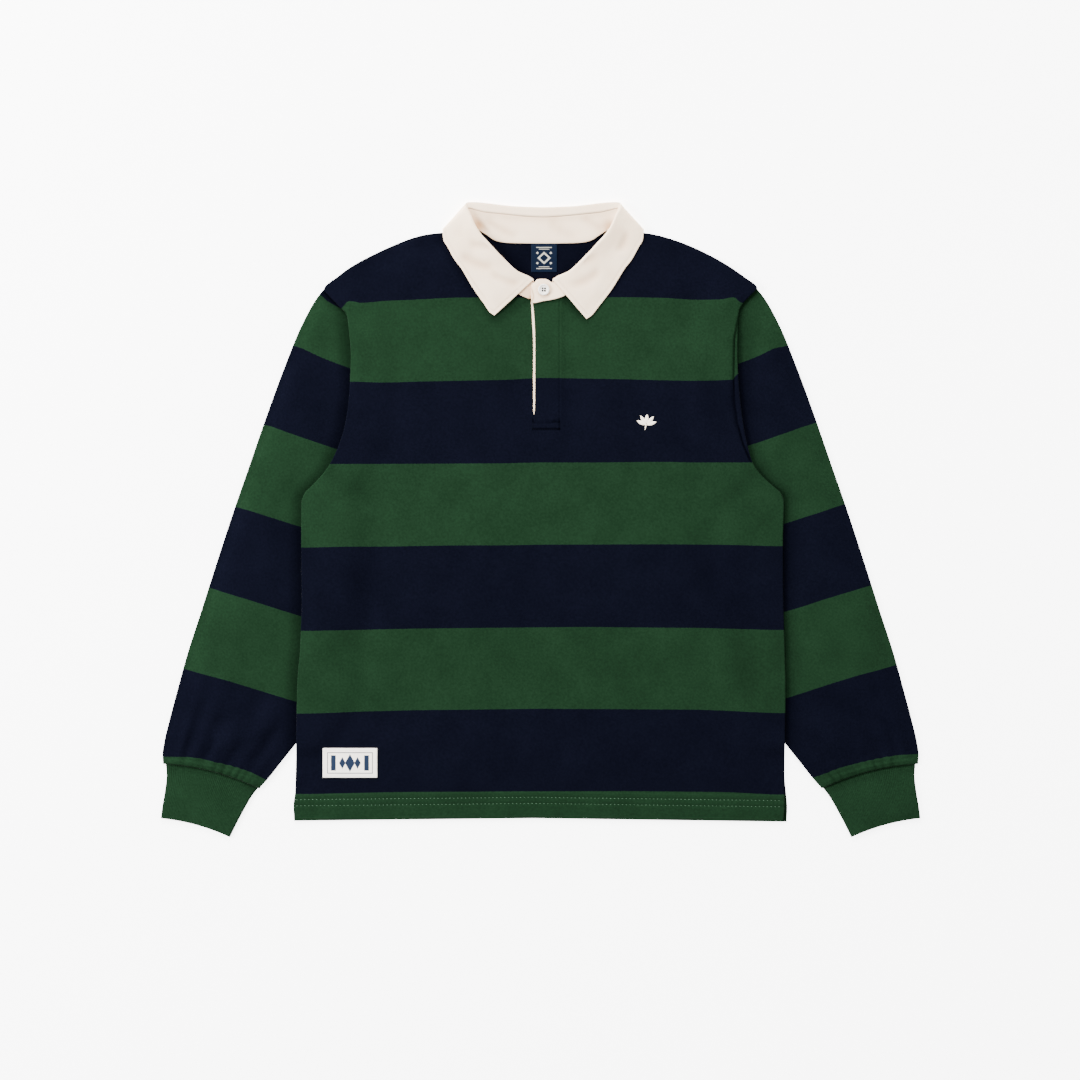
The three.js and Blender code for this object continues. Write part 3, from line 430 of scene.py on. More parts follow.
def top_line(neck: Sequence[Sequence[float]]) -> TopLine:
    """Makes the function of a panel's top line: its neckline, and the shoulders on both sides of it."""
    neckline = Curve.through(neck)
    left, right = Curve.through(LEFT_SHOULDER), Curve.through(RIGHT_SHOULDER)

    def height(x: Array) -> Array:
        """Reads the top line at places across."""
        reach = np.abs(x - NECK_X)
        return np.where(reach < NECK_REACH, neckline(reach), np.where(x < 0, left(x), right(x)))

    return height


FRONT_TOP = top_line(FRONT_NECK)
BACK_TOP = top_line(BACK_NECK)

# Folds that the solids have too
MAIN_CREASES = creases(
    (-205, -40, -240, -190, 26, -1.3), (-178, -70, -205, -230, 30, 0.9), (192, -30, 246, -210, 26, -1.4),
    (160, -60, 205, -240, 32, 0.9), (-120, 300, -60, 210, 22, -0.5),
)
# Smaller folds of the front: by the collar, at the armholes, below the arms and above the hem
FINE_CREASES = creases(
    (-118, 334, -96, 306, 7, 1.1, 4), (-106, 341, -84, 300, 5, -1.2, 3),
    (-150, 330, -100, 316, 9, -0.8, -5), (128, 334, 106, 306, 7, 1.0, -4), (116, 340, 96, 303, 5, -1.1, -3),
    (-232, 262, -206, 258, 6, 1.2, 2), (-228, 274, -205, 262, 5, -1.0, 2), (236, 264, 212, 262, 6, 1.1, -2),
    (226, 276, 206, 266, 5, -0.9, -2), (-231, 270, -228, 205, 3.2, 1.3, 1),
    (-237, 262, -232, 236, 2.4, -1.0, 0), (238, 268, 234, 215, 3.2, 1.2, -1),
    (-224, 232, -214, 120, 12, 0.9, 3), (226, 232, 222, 130, 11, 0.8, -3),
    (-262, 70, -190, 20, 12, -1.0, 8), (-280, 40, -215, -20, 12, 1.0, 7), (268, 70, 200, 10, 12, -1.0, -8),
    (284, 36, 226, -30, 12, 1.0, -7), (-262, -60, -272, -220, 14, 0.8, 4),
    (270, -60, 276, -220, 13, 0.8, -4), (-150, 210, -60, 170, 20, 0.6, 10),
    (40, 210, 150, 190, 22, 0.6, -8), (-90, 40, 60, 20, 34, 0.5, 10), (-120, -120, 20, -190, 40, -0.5, -12),
    (60, -100, 150, -260, 30, -0.5, 10),
)
# Soft folds of the stand's shown inside at the back
STAND_CREASES = creases(
    (-66, 362, -28, 340, 4.5, -0.9, 2), (-84, 366, -62, 344, 3.5, -0.8, 0), (10, 360, 44, 338, 6, -0.7, 3),
    (48, 362, 74, 346, 4.5, -0.8, -2), (-20, 358, 6, 340, 6, 0.5, 2),
)
# Soft folds of the fall, left and right
FALL_CREASES = creases(
    (-86, 332, -58, 326, 5, -0.7, 1), (-96, 318, -56, 302, 6, -0.8, 3), (-60, 296, -24, 282, 5, -0.7, 2),
    (-70, 286, -48, 262, 7, 0.5, 2), (70, 316, 50, 306, 5, -0.6, 1), (104, 346, 92, 320, 5, -0.7, -2),
    (72, 300, 36, 280, 6, -0.8, -3), (70, 286, 56, 262, 7, 0.5, -2),
)
# Folds of each sleeve, on the left sleeve's side
LEFT_SLEEVE_CREASES = creases(
    (-262, 250, -240, 140, 9, -1.0, 4), (-300, 190, -262, 90, 16, 0.9, 6),
    (-330, 60, -300, -60, 18, -0.8, -6), (-372, -40, -352, -160, 22, 0.8, 6),
    (-310, -120, -330, -230, 18, -0.9, 6), (-408, -250, -322, -210, 12, -1.5, 6),
    (-400, -272, -312, -232, 10, 1.4, 8), (-352, -292, -316, -250, 8, -1.2, 3),
    (-400, -286, -388, -262, 5, -1.2, 0), (-378, -290, -366, -262, 6, 1.0, 0),
)
RIGHT_SLEEVE_CREASES = creases(
    (-266, 256, -246, 150, 10, -1.1, 4), (-306, 200, -286, 120, 10, -0.8, 4),
    (-330, 90, -296, -20, 18, 0.8, -5), (-356, 10, -330, -110, 20, -0.8, 6),
    (-398, -80, -376, -180, 20, 0.8, 4), (-312, -150, -330, -240, 16, -0.9, 5),
    (-416, -246, -330, -214, 12, -1.5, 6), (-396, -276, -320, -236, 10, 1.3, 8),
    (-356, -294, -326, -256, 8, -1.2, 3), (-412, -284, -402, -260, 5, -1.0, 0),
    (-386, -290, -372, -262, 6, -1.1, 0),
)

# Lines along the collar's free edges, where painted shadow darkens the front
FALL_SHADOW_LEFT = ((-116.0, 338.0), (-94.0, 300.0), (-55.0, 243.0), (-22.0, 262.0), (-12.0, 268.0))
FALL_SHADOW_RIGHT = ((122.0, 338.0), (100.0, 300.0), (55.0, 240.0), (30.0, 262.0))


@dataclass(frozen=True)
class BodyForm:
    """How the laid body's two panels lie over the sleeves and the collar, with their folds."""

    lift_full: float = 20.0
    lift_end: float = 52.0
    sleeve_clear: float = -269.0
    crown: float = 2.6
    neck_ease: float = 0.2
    edge_radius: float = 1.5

    def back_bottom(self, x: Array, y: Array) -> Array:
        """Gives the back's underside: raised over the hidden sleeve edges and the fall, else the floor."""
        past = -HIDDEN(y) - np.abs(x)
        above = smooth(y, self.sleeve_clear - 20, self.sleeve_clear)
        sleeves = SLEEVE_LIFT * above * (1 - smooth(past, self.lift_full, self.lift_end))
        fall = COLLAR_LIFT * smooth(y, 280, 325) * (1 - smooth(np.abs(x - NECK_X), 124, 168))
        return np.maximum(sleeves, fall)

    def back_top(self, x: Array, y: Array) -> Array:
        """Gives the back's upper side, one jersey above its underside."""
        return self.back_bottom(x, y) + JERSEY

    def ease(self, x: Array, y: Array) -> Array:
        """Gives the little air round the neck."""
        return self.neck_ease * smooth(y, 255, 275) * (1 - smooth(np.abs(x - NECK_X), 150, 180))

    def from_sides(self, x: Array, y: Array) -> Array:
        """Gives how far in from the nearer side a place lies."""
        return np.minimum(x - LEFT(y), RIGHT(y) - x)

    def front_base(self, x: Array, y: Array) -> Array:
        """Gives the front's underside without the placket: the back, a gap, air and the main folds."""
        sides = self.from_sides(x, y)
        edges = smooth(sides, 0, 70) * smooth(FRONT_TOP(x) - y, 0, 60) * smooth(y, -358, -290)
        placket = 1 - 0.85 * smooth(y, 90, 150) * (1 - smooth(np.abs(x - 5), 25, 70))
        air = np.maximum(0.0, (self.crown + raised_by(MAIN_CREASES, x, y)) * edges * placket)
        return self.back_top(x, y) + GAP + self.ease(x, y) + air

    def front_bottom(self, x: Array, y: Array) -> Array:
        """Gives the front's underside, raised over the facing on the right of the slit."""
        middle = (SLIT_LEFT(y) + SLIT_RIGHT(y)) / 2
        across = np.where(x < middle - 0.05, 0.0, 1 - smooth(x, 23.5, 31))
        return self.front_base(x, y) + (TAPE + GAP) * across * smooth(y, 96, 119)

    def front_solid_top(self, x: Array, y: Array) -> Array:
        """Gives the front's upper side as in its solid."""
        return self.front_bottom(x, y) + JERSEY

    def hem_distance(self, x: Array, y: Array) -> Array:
        """Gives the height above the hem's lower edge."""
        line = np.array(HEM_LINE)
        return y - np.interp(x, line[:, 0], line[:, 1])

    def front_relief(self, x: Array, y: Array) -> Array:
        """Gives what the front has beyond its solid: small folds, waves, turned hem and seam grooves.

        Args:
            x: places across.
            y: heights up the shirt.

        Returns:
            Heights to add to the upper side.
        """
        sides = self.from_sides(x, y)
        from_top = FRONT_TOP(x) - y
        hem = self.hem_distance(x, y)
        inner = smooth(sides, 0, 16) * smooth(from_top, 0, 8) * smooth(hem, 0, 60)
        patch = smooth(np.hypot((x + 228) / 50, (y + 291) / 32), 0.9, 1.5)
        waves = 0.35 * soft_noise(x, y, 46, SEED) + 0.16 * soft_noise(x, y, 17, SEED + 1)
        folds = raised_by(FINE_CREASES, x, y) * smooth(sides, 0, 10) * smooth(from_top, 0, 6)
        height = (waves * inner + folds) * patch
        height += HEM_TURNING * (1 - smooth(hem, HEM_DEPTH - 0.8, HEM_DEPTH + 0.8))
        height += 0.18 * soft_noise(x, 0 * y, 9, SEED + 2) * (1 - smooth(hem, 4, 34))
        for row in HEM_STITCHES:
            height += groove(hem - row, 0.4, 1.3)
        height += groove(line_distance(x, y, RIGHT_ARMHOLE), 1.3, 1.3)
        shoulder = smooth(np.abs(x - NECK_X), 96, 104) * (1 - smooth(np.abs(x), 252, 262))
        height += groove(from_top - 2.4, 0.7, 0.8) * shoulder
        return height + self.placket_relief(x, y)

    def placket_relief(self, x: Array, y: Array) -> Array:
        """Gives the placket's seam groove, its pressed edge and the two rows of its box."""
        tall = smooth(y, 104, 110)
        seam = groove(x - 22.8, 0.5, 1.1) * tall
        edge = groove(x - SLIT_RIGHT(y) - 2.4, 0.25, 0.7) * smooth(y, 116, 124) * (x > -8)
        across = smooth(x, -11, -9) * (1 - smooth(x, 22.5, 24.5))
        box = (groove(y - BOX_ROWS[0], 0.8, 1.3) + groove(y - BOX_ROWS[1], 0.8, 1.3)) * across
        return seam + edge + box

    def front_painted_shade(self, x: Array, y: Array) -> Array:
        """Gives the front's painted shade: in the placket's rows and seams, the armhole's seam and fold
        troughs, and a painted shadow along the collar's free edges.
        """
        armhole = -groove(line_distance(x, y, RIGHT_ARMHOLE), 0.9, 1.3)
        folds = -0.16 * raised_by(FINE_CREASES + MAIN_CREASES, x, y)
        under = 0.5 * (1 - smooth(line_distance(x, y, FALL_SHADOW_LEFT), 0, 13))
        under = under + 0.4 * (1 - smooth(line_distance(x, y, FALL_SHADOW_RIGHT), 0, 9))
        box = -1.1 * self.placket_relief(x, y) * np.where(y > 123, 0.3, 1.0)
        return box + armhole + np.maximum(folds, 0.0) + under

    def front_top(self, x: Array, y: Array) -> Array:
        """Gives the finished upper side, with the outer edges rolled down."""
        sides = self.from_sides(x, y)
        nearest = np.minimum(np.minimum(sides, FRONT_TOP(x) - y + 0.2), self.hem_distance(x, y) + 0.2)
        drop = 0.8 * rounded(np.maximum(nearest, 0.0), self.edge_radius)
        return self.front_solid_top(x, y) + self.front_relief(x, y) - drop


BODY = BodyForm()


@dataclass(frozen=True)
class StripeField:
    """Numbers the stripes over a piece: whole numbers at their edges, and shares of a stripe between."""

    edges: tuple[Curve, ...]
    slant: float = 0.0

    @classmethod
    def of_body(cls) -> "StripeField":
        """Makes the field of the body's level stripes."""
        upper = [Curve.through(rows) for rows in (SHOULDER_STRIPE, CHEST_STRIPE)]
        return cls((*upper, *(Curve.of(STRIPE_X, np.array(row)) for row in BODY_STRIPES)))

    @classmethod
    def of_sleeve(cls, tables: Sequence[Sequence[Sequence[float]]], slant: float) -> "StripeField":
        """Makes the field of a sleeve's slanting stripes.

        Args:
            tables: for each edge, its places across and heights.
            slant: mean slope of the edges.

        Returns:
            The field.
        """
        longer = []
        for rows in tables:
            (ax, ay), (bx, by) = rows[0], rows[-1]
            ends = [(ax - 200, ay - 200 * slant), (bx + 200, by + 200 * slant)]
            longer.append(Curve.through([*rows, *ends]))
        return cls(tuple(longer), slant)

    def coordinates(self, x: Array, y: Array) -> Array:
        """Gives each point's place across the cloth and down its stripes, both in stripes.

        Args:
            x: places across the shirt.
            y: heights up the shirt.

        Returns:
            Pairs of coordinates on the last axis.
        """
        lines = np.stack([edge(x) for edge in self.edges])
        lines = np.concatenate([lines[:1] + STRIPE, lines, lines[-1:] - STRIPE])
        count = len(lines) - 1
        band = np.clip((lines > y).sum(0) - 1, 0, count - 1)
        upper = np.take_along_axis(lines, band[None], 0)[0]
        lower = np.take_along_axis(lines, band[None] + 1, 0)[0]
        down = band + (upper - y) / (upper - lower)
        across = (x + self.slant * y) / math.hypot(1.0, self.slant) / STRIPE
        return np.stack([across, down], -1)


# Meshes

def grid_faces(rows: int, columns: int, wrap: bool = False) -> Array:
    """Gives the four corners of each cell of a grid stored row by row.

    Args:
        rows: number of rows.
        columns: number of columns.
        wrap: whether the last column joins the first.

    Returns:
        One row of four indices for each cell.
    """
    row = np.arange(rows - 1)[:, None]
    column = np.arange(columns if wrap else columns - 1)[None, :]
    after = (column + 1) % columns
    here, below = row * columns, (row + 1) * columns
    return np.stack([here + column, below + column, below + after, here + after], -1).reshape(-1, 4)


def closed_wall(upper: Array, lower: Array, faces: Array) -> tuple[Array, Array]:
    """Joins two skins with the same faces into one closed wall by a rim along their open edges.

    Args:
        upper: points of the upper skin.
        lower: points of the lower skin.
        faces: faces of the upper skin.

    Returns:
        Points and faces of the wall, all facing outwards.
    """
    count = len(upper)
    edges = np.concatenate([np.stack([faces[:, i], faces[:, (i + 1) % 4]], 1) for i in range(4)])
    key = edges.min(1) * count + edges.max(1)
    _, inverse, uses = np.unique(key, return_inverse=True, return_counts=True)
    rim = edges[uses[inverse.reshape(-1)] == 1]
    sides = np.stack([rim[:, 1], rim[:, 0], rim[:, 0] + count, rim[:, 1] + count], 1)
    points = np.concatenate([upper, lower])
    quads = np.concatenate([faces, faces[:, ::-1] + count, sides])
    a, b, c, d = (points[quads[:, i]] for i in range(4))
    volume = (a * np.cross(b, c)).sum() + (a * np.cross(c, d)).sum()
    return points, quads if volume > 0 else quads[:, ::-1]


def grid_wall(upper: Array, lower: Array, wrap: bool = False) -> tuple[Array, Array]:
    """Joins two grids of points into one closed wall; with wrap, their last column joins the first."""
    faces = grid_faces(*upper.shape[:2], wrap)
    return closed_wall(upper.reshape(-1, 3), lower.reshape(-1, 3), faces)


def joined(parts: Sequence[tuple[Array, Array]]) -> tuple[Array, Array]:
    """Joins the points and faces of several parts into one."""
    starts = np.cumsum([0, *(len(points) for points, _ in parts)])
    faces = [faces + start for (_, faces), start in zip(parts, starts)]
    return np.concatenate([points for points, _ in parts]), np.concatenate(faces)


def add_piece(
    name: str, points: Array, faces: Array, material: Material, uv: Optional[Array] = None,
    painted_shade: Optional[Array] = None,
) -> Object:
    """Makes a smooth-shaded object from arrays, with its place in its mesh.

    Args:
        name: the piece's name.
        points: corners in millimetres.
        faces: rows of three or four indices.
        material: its finish.
        uv: one pair of coordinates for each point.
        painted_shade: how much painted shade darkens each point, from 0 to 1.

    Returns:
        The object.
    """
    mesh = bpy.data.meshes.new(name)
    sides = faces.shape[1]
    mesh.vertices.add(len(points))
    mesh.vertices.foreach_set("co", (np.asarray(points, float) * MM).astype(np.float32).ravel())
    mesh.loops.add(faces.size)
    mesh.loops.foreach_set("vertex_index", faces.astype(np.int32).ravel())
    mesh.polygons.add(len(faces))
    mesh.polygons.foreach_set("loop_start", np.arange(0, faces.size, sides, dtype=np.int32))
    mesh.update(calc_edges=True)
    mesh.polygons.foreach_set("use_smooth", np.ones(len(faces), bool))
    if uv is not None:
        layer = mesh.uv_layers.new(name="cloth")
        layer.data.foreach_set("uv", uv[faces.ravel()].astype(np.float32).ravel())
    if painted_shade is not None:
        depth = mesh.attributes.new("painted_shade", "FLOAT", "POINT")
        depth.data.foreach_set("value", np.clip(painted_shade, 0, 1).astype(np.float32).ravel())
    mesh.validate()
    mesh.materials.append(material)
    piece = bpy.data.objects.new(name, mesh)
    bpy.context.scene.collection.objects.link(piece)
    return piece


@dataclass(frozen=True)
class Surface:
    """A grid of points with a normal at each, which can be read between its rows and columns."""

    points: Array

    @property
    def normals(self) -> Array:
        """Unit normals: the cross product of the steps along and across the grid."""
        down, across = np.gradient(self.points, axis=0), np.gradient(self.points, axis=1)
        normal = np.cross(down, across)
        return normal / np.maximum(np.linalg.norm(normal, axis=-1, keepdims=True), 1e-9)

    def moved(self, distance: Array) -> Array:
        """Gives the points moved along their normals."""
        return self.points + self.normals * np.asarray(distance)[..., None]

    def read(self, grid: Array, row: Array, column: Array) -> Array:
        """Reads a grid at broken places by blending the four nearest points.

        Args:
            grid: points or normals of this surface.
            row: places down the grid, counted in rows.
            column: places across it, counted in columns.

        Returns:
            The blended values.
        """
        rows, columns = grid.shape[:2]
        row, column = np.clip(row, 0, rows - 1.001), np.clip(column, 0, columns - 1.001)
        i, j = np.floor(row).astype(int), np.floor(column).astype(int)
        s, t = (row - i)[..., None], (column - j)[..., None]
        low = lerp(grid[i, j], grid[i, j + 1], t)
        return lerp(low, lerp(grid[i + 1, j], grid[i + 1, j + 1], t), s)


@dataclass(frozen=True)
class Stitch:
    """A run of lockstitch: how long each stitch is, how far apart they start, and the thread's size."""

    length: float = 2.6
    pitch: float = 3.4
    width: float = 0.5
    height: float = 0.35

    def run(self, path: Array, normals: Array) -> tuple[Array, Array]:
        """Lays stitches along a path: a small ellipsoid for each, turned along the path.

        Args:
            path: points in millimetres.
            normals: the cloth's normal at each point.

        Returns:
            Points and faces of all the stitches.
        """
        step = np.linalg.norm(np.diff(path, axis=0), axis=1)
        travelled = np.concatenate([[0.0], np.cumsum(step)])
        count = max(1, int((travelled[-1] - self.length) / self.pitch) + 1)
        start = (travelled[-1] - (count - 1) * self.pitch) / 2
        at = start + np.arange(count) * self.pitch

        def along(values: Array, place: Array) -> Array:
            """Reads the path's values at distances along it."""
            return np.stack([np.interp(place, travelled, values[:, i]) for i in range(3)], -1)

        centre, up = along(path, at), along(normals, at)
        ahead = along(path, at + self.length / 2) - along(path, at - self.length / 2)
        ahead /= np.maximum(np.linalg.norm(ahead, axis=1, keepdims=True), 1e-9)
        side = np.cross(up, ahead)
        side /= np.maximum(np.linalg.norm(side, axis=1, keepdims=True), 1e-9)
        up = np.cross(ahead, side)
        sides = 6
        ring = 2 * np.pi * np.arange(sides) / sides
        turns = np.radians([32, 90, 148])
        shell = np.stack([
            np.repeat(-np.cos(turns), sides),
            np.outer(np.sin(turns), np.cos(ring)).ravel(),
            np.outer(np.sin(turns), np.sin(ring)).ravel(),
        ], -1)
        shell = np.concatenate([shell, [[-1, 0, 0], [1, 0, 0]]])
        shell = shell * [self.length / 2, self.width / 2, self.height / 2]
        points = centre[:, None] + sum(
            shell[None, :, k, None] * axis[:, None] for k, axis in enumerate((ahead, side, up))
        )
        nodes = np.arange(len(turns) * sides).reshape(-1, sides)
        nexts = np.roll(nodes, -1, axis=1)
        body = [np.stack([nodes[i], nexts[i], nexts[i + 1], nodes[i + 1]], 1) for i in range(len(turns) - 1)]
        quads = np.concatenate(body)
        first, last = np.full(sides, nodes.size), np.full(sides, nodes.size + 1)
        caps = [np.stack([first, nexts[0], nodes[0]], 1), np.stack([last, nodes[-1], nexts[-1]], 1)]
        halves = np.concatenate([quads[:, [0, 1, 2]], quads[:, [0, 2, 3]], *caps])[:, ::-1]
        offset = (np.arange(count) * len(shell))[:, None, None]
        return points.reshape(-1, 3), (halves[None] + offset).reshape(-1, 3)


def stitch_piece(
    name: str, runs: Sequence[tuple[Array, Array]], stitch: Stitch, material: Material,
) -> Object:
    """Joins several runs of stitches into one piece.

    Args:
        name: the piece's name.
        runs: path and normals of each run.
        stitch: size of the stitches.
        material: the thread's finish.

    Returns:
        The object.
    """
    points, faces = joined([stitch.run(path, normals) for path, normals in runs])
    return add_piece(name, points, faces, material)


def on_front(route: Sequence[Sequence[float]], step: float = 2.0) -> tuple[Array, Array]:
    """Lays a route of straight runs onto the front: its points go up to the front's upper side.

    Args:
        route: corners, as places across and heights.
        step: distance between two points.

    Returns:
        Path and normals.
    """
    corners = np.array(route, float)
    length = np.concatenate([[0.0], np.cumsum(np.hypot(*np.diff(corners, axis=0).T))])
    at = np.linspace(0, length[-1], max(2, int(length[-1] / step) + 1))
    x, y = np.interp(at, length, corners[:, 0]), np.interp(at, length, corners[:, 1])
    nudge = 0.5
    z = BODY.front_top(x, y)
    slope_x = (BODY.front_top(x + nudge, y) - BODY.front_top(x - nudge, y)) / (2 * nudge)
    slope_y = (BODY.front_top(x, y + nudge) - BODY.front_top(x, y - nudge)) / (2 * nudge)
    normal = np.stack([-slope_x, -slope_y, np.ones_like(x)], -1)
    normal /= np.linalg.norm(normal, axis=1, keepdims=True)
    return np.stack([x, y, z], -1), normal


# Finishes

def linear(colour: str) -> tuple[float, float, float, float]:
    """Turns an sRGB hex colour into linear light."""
    parts = [int(colour[i:i + 2], 16) / 255 for i in (1, 3, 5)]
    light = [p / 12.92 if p <= 0.04045 else ((p + 0.055) / 1.055) ** 2.4 for p in parts]
    return (light[0], light[1], light[2], 1.0)


class Graph:
    """A new node material and the short ways to fill it."""

    def __init__(self, name: str) -> None:
        """Makes the empty material."""
        self.material = bpy.data.materials.new(name)
        self.material.use_nodes = True
        self.tree = self.material.node_tree
        self.tree.nodes.clear()

    def add(self, kind: str, inputs: Optional[dict] = None, **settings: object) -> bpy.types.Node:
        """Adds a shader node with its settings, and sets or links its inputs.

        Args:
            kind: the end of the node's type name.
            inputs: input names or numbers, each with a value or with another node's output.
            settings: properties of the node.

        Returns:
            The node.
        """
        node = self.tree.nodes.new("ShaderNode" + kind)
        for key, value in settings.items():
            setattr(node, key, value)
        for key, value in (inputs or {}).items():
            if isinstance(value, Socket):
                self.tree.links.new(value, node.inputs[key])
            else:
                node.inputs[key].default_value = value
        return node

    def math(self, operation: str, *values: object) -> Socket:
        """Adds one sum and gives its output."""
        return self.add("Math", dict(enumerate(values)), operation=operation).outputs[0]

    def mix(self, share: object, first: object, second: object, blend: str = "MIX") -> Socket:
        """Mixes two colours, given as outputs or hex codes, and gives the result's output."""
        ends = [linear(end) if isinstance(end, str) else end for end in (first, second)]
        inputs = {0: share, 6: ends[0], 7: ends[1]}
        return self.add("Mix", inputs, data_type="RGBA", blend_type=blend).outputs[2]

    def place(self) -> Socket:
        """Gives the piece's own coordinates."""
        return self.add("TexCoord").outputs["Object"]

    def noise(self, scale: float, detail: float) -> Socket:
        """Gives noise over the piece's own coordinates."""
        return self.add("TexNoise", {"Vector": self.place(), "Scale": scale, "Detail": detail}).outputs[0]

    def painted_shade(self) -> Socket:
        """Gives the painted shade stored at each place, from 0 to 1."""
        return self.add("Attribute", attribute_name="painted_shade").outputs["Fac"]

    def cloth(self) -> tuple[Socket, Socket]:
        """Gives the two coordinates of the piece's UV map."""
        uv = self.add("UVMap", uv_map="cloth").outputs[0]
        parts = self.add("SeparateXYZ", {0: uv}).outputs
        return parts[0], parts[1]

    def finish(self, colour: Socket, height: Socket, depth: float, settings: dict) -> Material:
        """Ends the material: its colour and bumps go into one Principled shader.

        Args:
            colour: the colour's output.
            height: the bump's output, from 0 to 1.
            depth: the bump's depth in millimetres.
            settings: fixed values of the shader's own sockets.

        Returns:
            The material.
        """
        bump = self.add("Bump", {"Strength": 1.0, "Distance": depth * MM, "Height": height})
        inputs = {"Base Color": colour, "Normal": bump.outputs[0], **settings}
        shader = self.add("BsdfPrincipled", inputs)
        self.add("OutputMaterial", {"Surface": shader.outputs[0]})
        return self.material


class Pattern(Enum):
    """What a jersey or twill piece shows besides its ground colour."""

    STRIPED = "striped"
    RIBBED = "ribbed"


@dataclass(frozen=True)
class Jersey:
    """Heavy cotton jersey, knitted in yarn-dyed blocks: matt, faintly mottled, with rows of small Vs."""

    name: str
    pattern: Pattern = Pattern.STRIPED
    green: str = "#122416"
    navy: str = "#070811"
    wale: float = 1.5
    course: float = 1.2
    # How far the painted shade darkens the colour
    depth: float = 0.75
    roughness: float = 0.95
    sheen: float = 0.06

    def knit(self, graph: Graph, u: Socket, v: Socket) -> Socket:
        """Gives the knit's height: columns of Vs, drawn a little coarser than real ones so they show.

        Args:
            graph: the material's nodes.
            u: place across the cloth, in stripes.
            v: place down it.

        Returns:
            A height from 0 to 1.
        """
        across = graph.math("MULTIPLY", u, STRIPE / self.wale)
        down = graph.math("MULTIPLY", v, STRIPE / self.course)
        column = graph.math("PINGPONG", across, 0.5)
        loops = graph.math("PINGPONG", graph.math("ADD", down, graph.math("MULTIPLY", column, 1.6)), 0.5)
        legs = graph.math("POWER", graph.math("MULTIPLY", column, 2.0), 0.6)
        return graph.math("MULTIPLY", legs, graph.math("ADD", loops, 0.5))

    def build(self) -> Material:
        """Makes the material: stripes by the cloth's own coordinate, mottling, painted shade, and knit bumps.
        """
        graph = Graph(self.name)
        u, v = graph.cloth()
        fibre = graph.noise(430.0, 3.0)
        mottle = graph.math("MULTIPLY_ADD", graph.noise(26.0, 5.0), 0.5, 0.75)
        speck = graph.math("MULTIPLY_ADD", fibre, 0.8, 0.6)
        # Painted shade: the colour darkens where the piece's stored painted shade is high
        shadow = graph.math("MULTIPLY_ADD", graph.painted_shade(), -self.depth, 1.0)
        shade = graph.math("MULTIPLY", graph.math("MULTIPLY", mottle, speck), shadow)
        if self.pattern is Pattern.STRIPED:
            ragged = graph.math("MULTIPLY_ADD", graph.noise(420.0, 1.0), 0.006, -0.003)
            half = graph.math("MULTIPLY", graph.math("ADD", v, ragged), 0.5)
            odd = graph.math("GREATER_THAN", graph.math("FRACT", half), 0.5)
            ground = graph.mix(odd, self.navy, self.green)
        else:
            # Painted shade in the rib valleys and painted highlight on the ribs' tops
            painted_rib_shading = graph.math("MULTIPLY_ADD", graph.math("PINGPONG", u, 0.5), 0.7, 0.85)
            shade = graph.math("MULTIPLY", shade, painted_rib_shading)
            ground = graph.mix(0.0, self.green, self.green)
        colour = graph.mix(1.0, ground, shade, "MULTIPLY")
        height = graph.math("ADD", self.knit(graph, u, v), graph.math("MULTIPLY", fibre, 0.5))
        return graph.finish(colour, height, 0.05, {
            "Roughness": self.roughness, "Specular IOR Level": 0.0, "Sheen Weight": self.sheen,
            "Sheen Roughness": 0.3,
        })


@dataclass(frozen=True)
class Twill:
    """Brushed cotton twill or a like plain cloth: pale, matt, with fine slanting cords."""

    name: str
    colour: str = "#ffe8cb"
    shade: str = "#fadbb8"
    # Colour of the painted shade in folds, seams and under edges
    painted_shadow: str = "#b98f66"
    cord: float = 1.1
    roughness: float = 0.85
    sheen: float = 0.06
    specular: float = 0.25

    def build(self) -> Material:
        """Makes the material: two close tones in soft clouds, painted shade towards a brown, and slanting
        cords as bumps.
        """
        graph = Graph(self.name)
        scale = 2 * math.pi / (10 * math.sqrt(2) * self.cord * MM)
        cords = graph.add("TexWave", {"Vector": graph.place(), "Scale": scale, "Distortion": 1.0},
                          bands_direction="DIAGONAL").outputs["Fac"]
        colour = graph.mix(graph.noise(38.0, 4.0), self.colour, self.shade)
        # Painted shade: the colour turns brown where the piece's stored painted shade is high
        colour = graph.mix(graph.painted_shade(), colour, self.painted_shadow)
        fibre = graph.math("MULTIPLY", graph.noise(1200.0, 2.0), 0.5)
        return graph.finish(colour, graph.math("MULTIPLY_ADD", cords, 0.5, fibre), 0.07, {
            "Roughness": self.roughness, "Sheen Weight": self.sheen, "Specular IOR Level": self.specular,
        })


@dataclass(frozen=True)
class Thread:
    """Sewing thread: a plain colour with a soft gloss and a fine twist."""

    name: str
    colour: str
    fleck: str

    def build(self) -> Material:
        """Makes the material."""
        graph = Graph(self.name)
        twist = graph.noise(2400.0, 1.0)
        colour = graph.mix(twist, self.colour, self.fleck)
        return graph.finish(colour, twist, 0.05, {"Roughness": 0.8, "Specular IOR Level": 0.04})


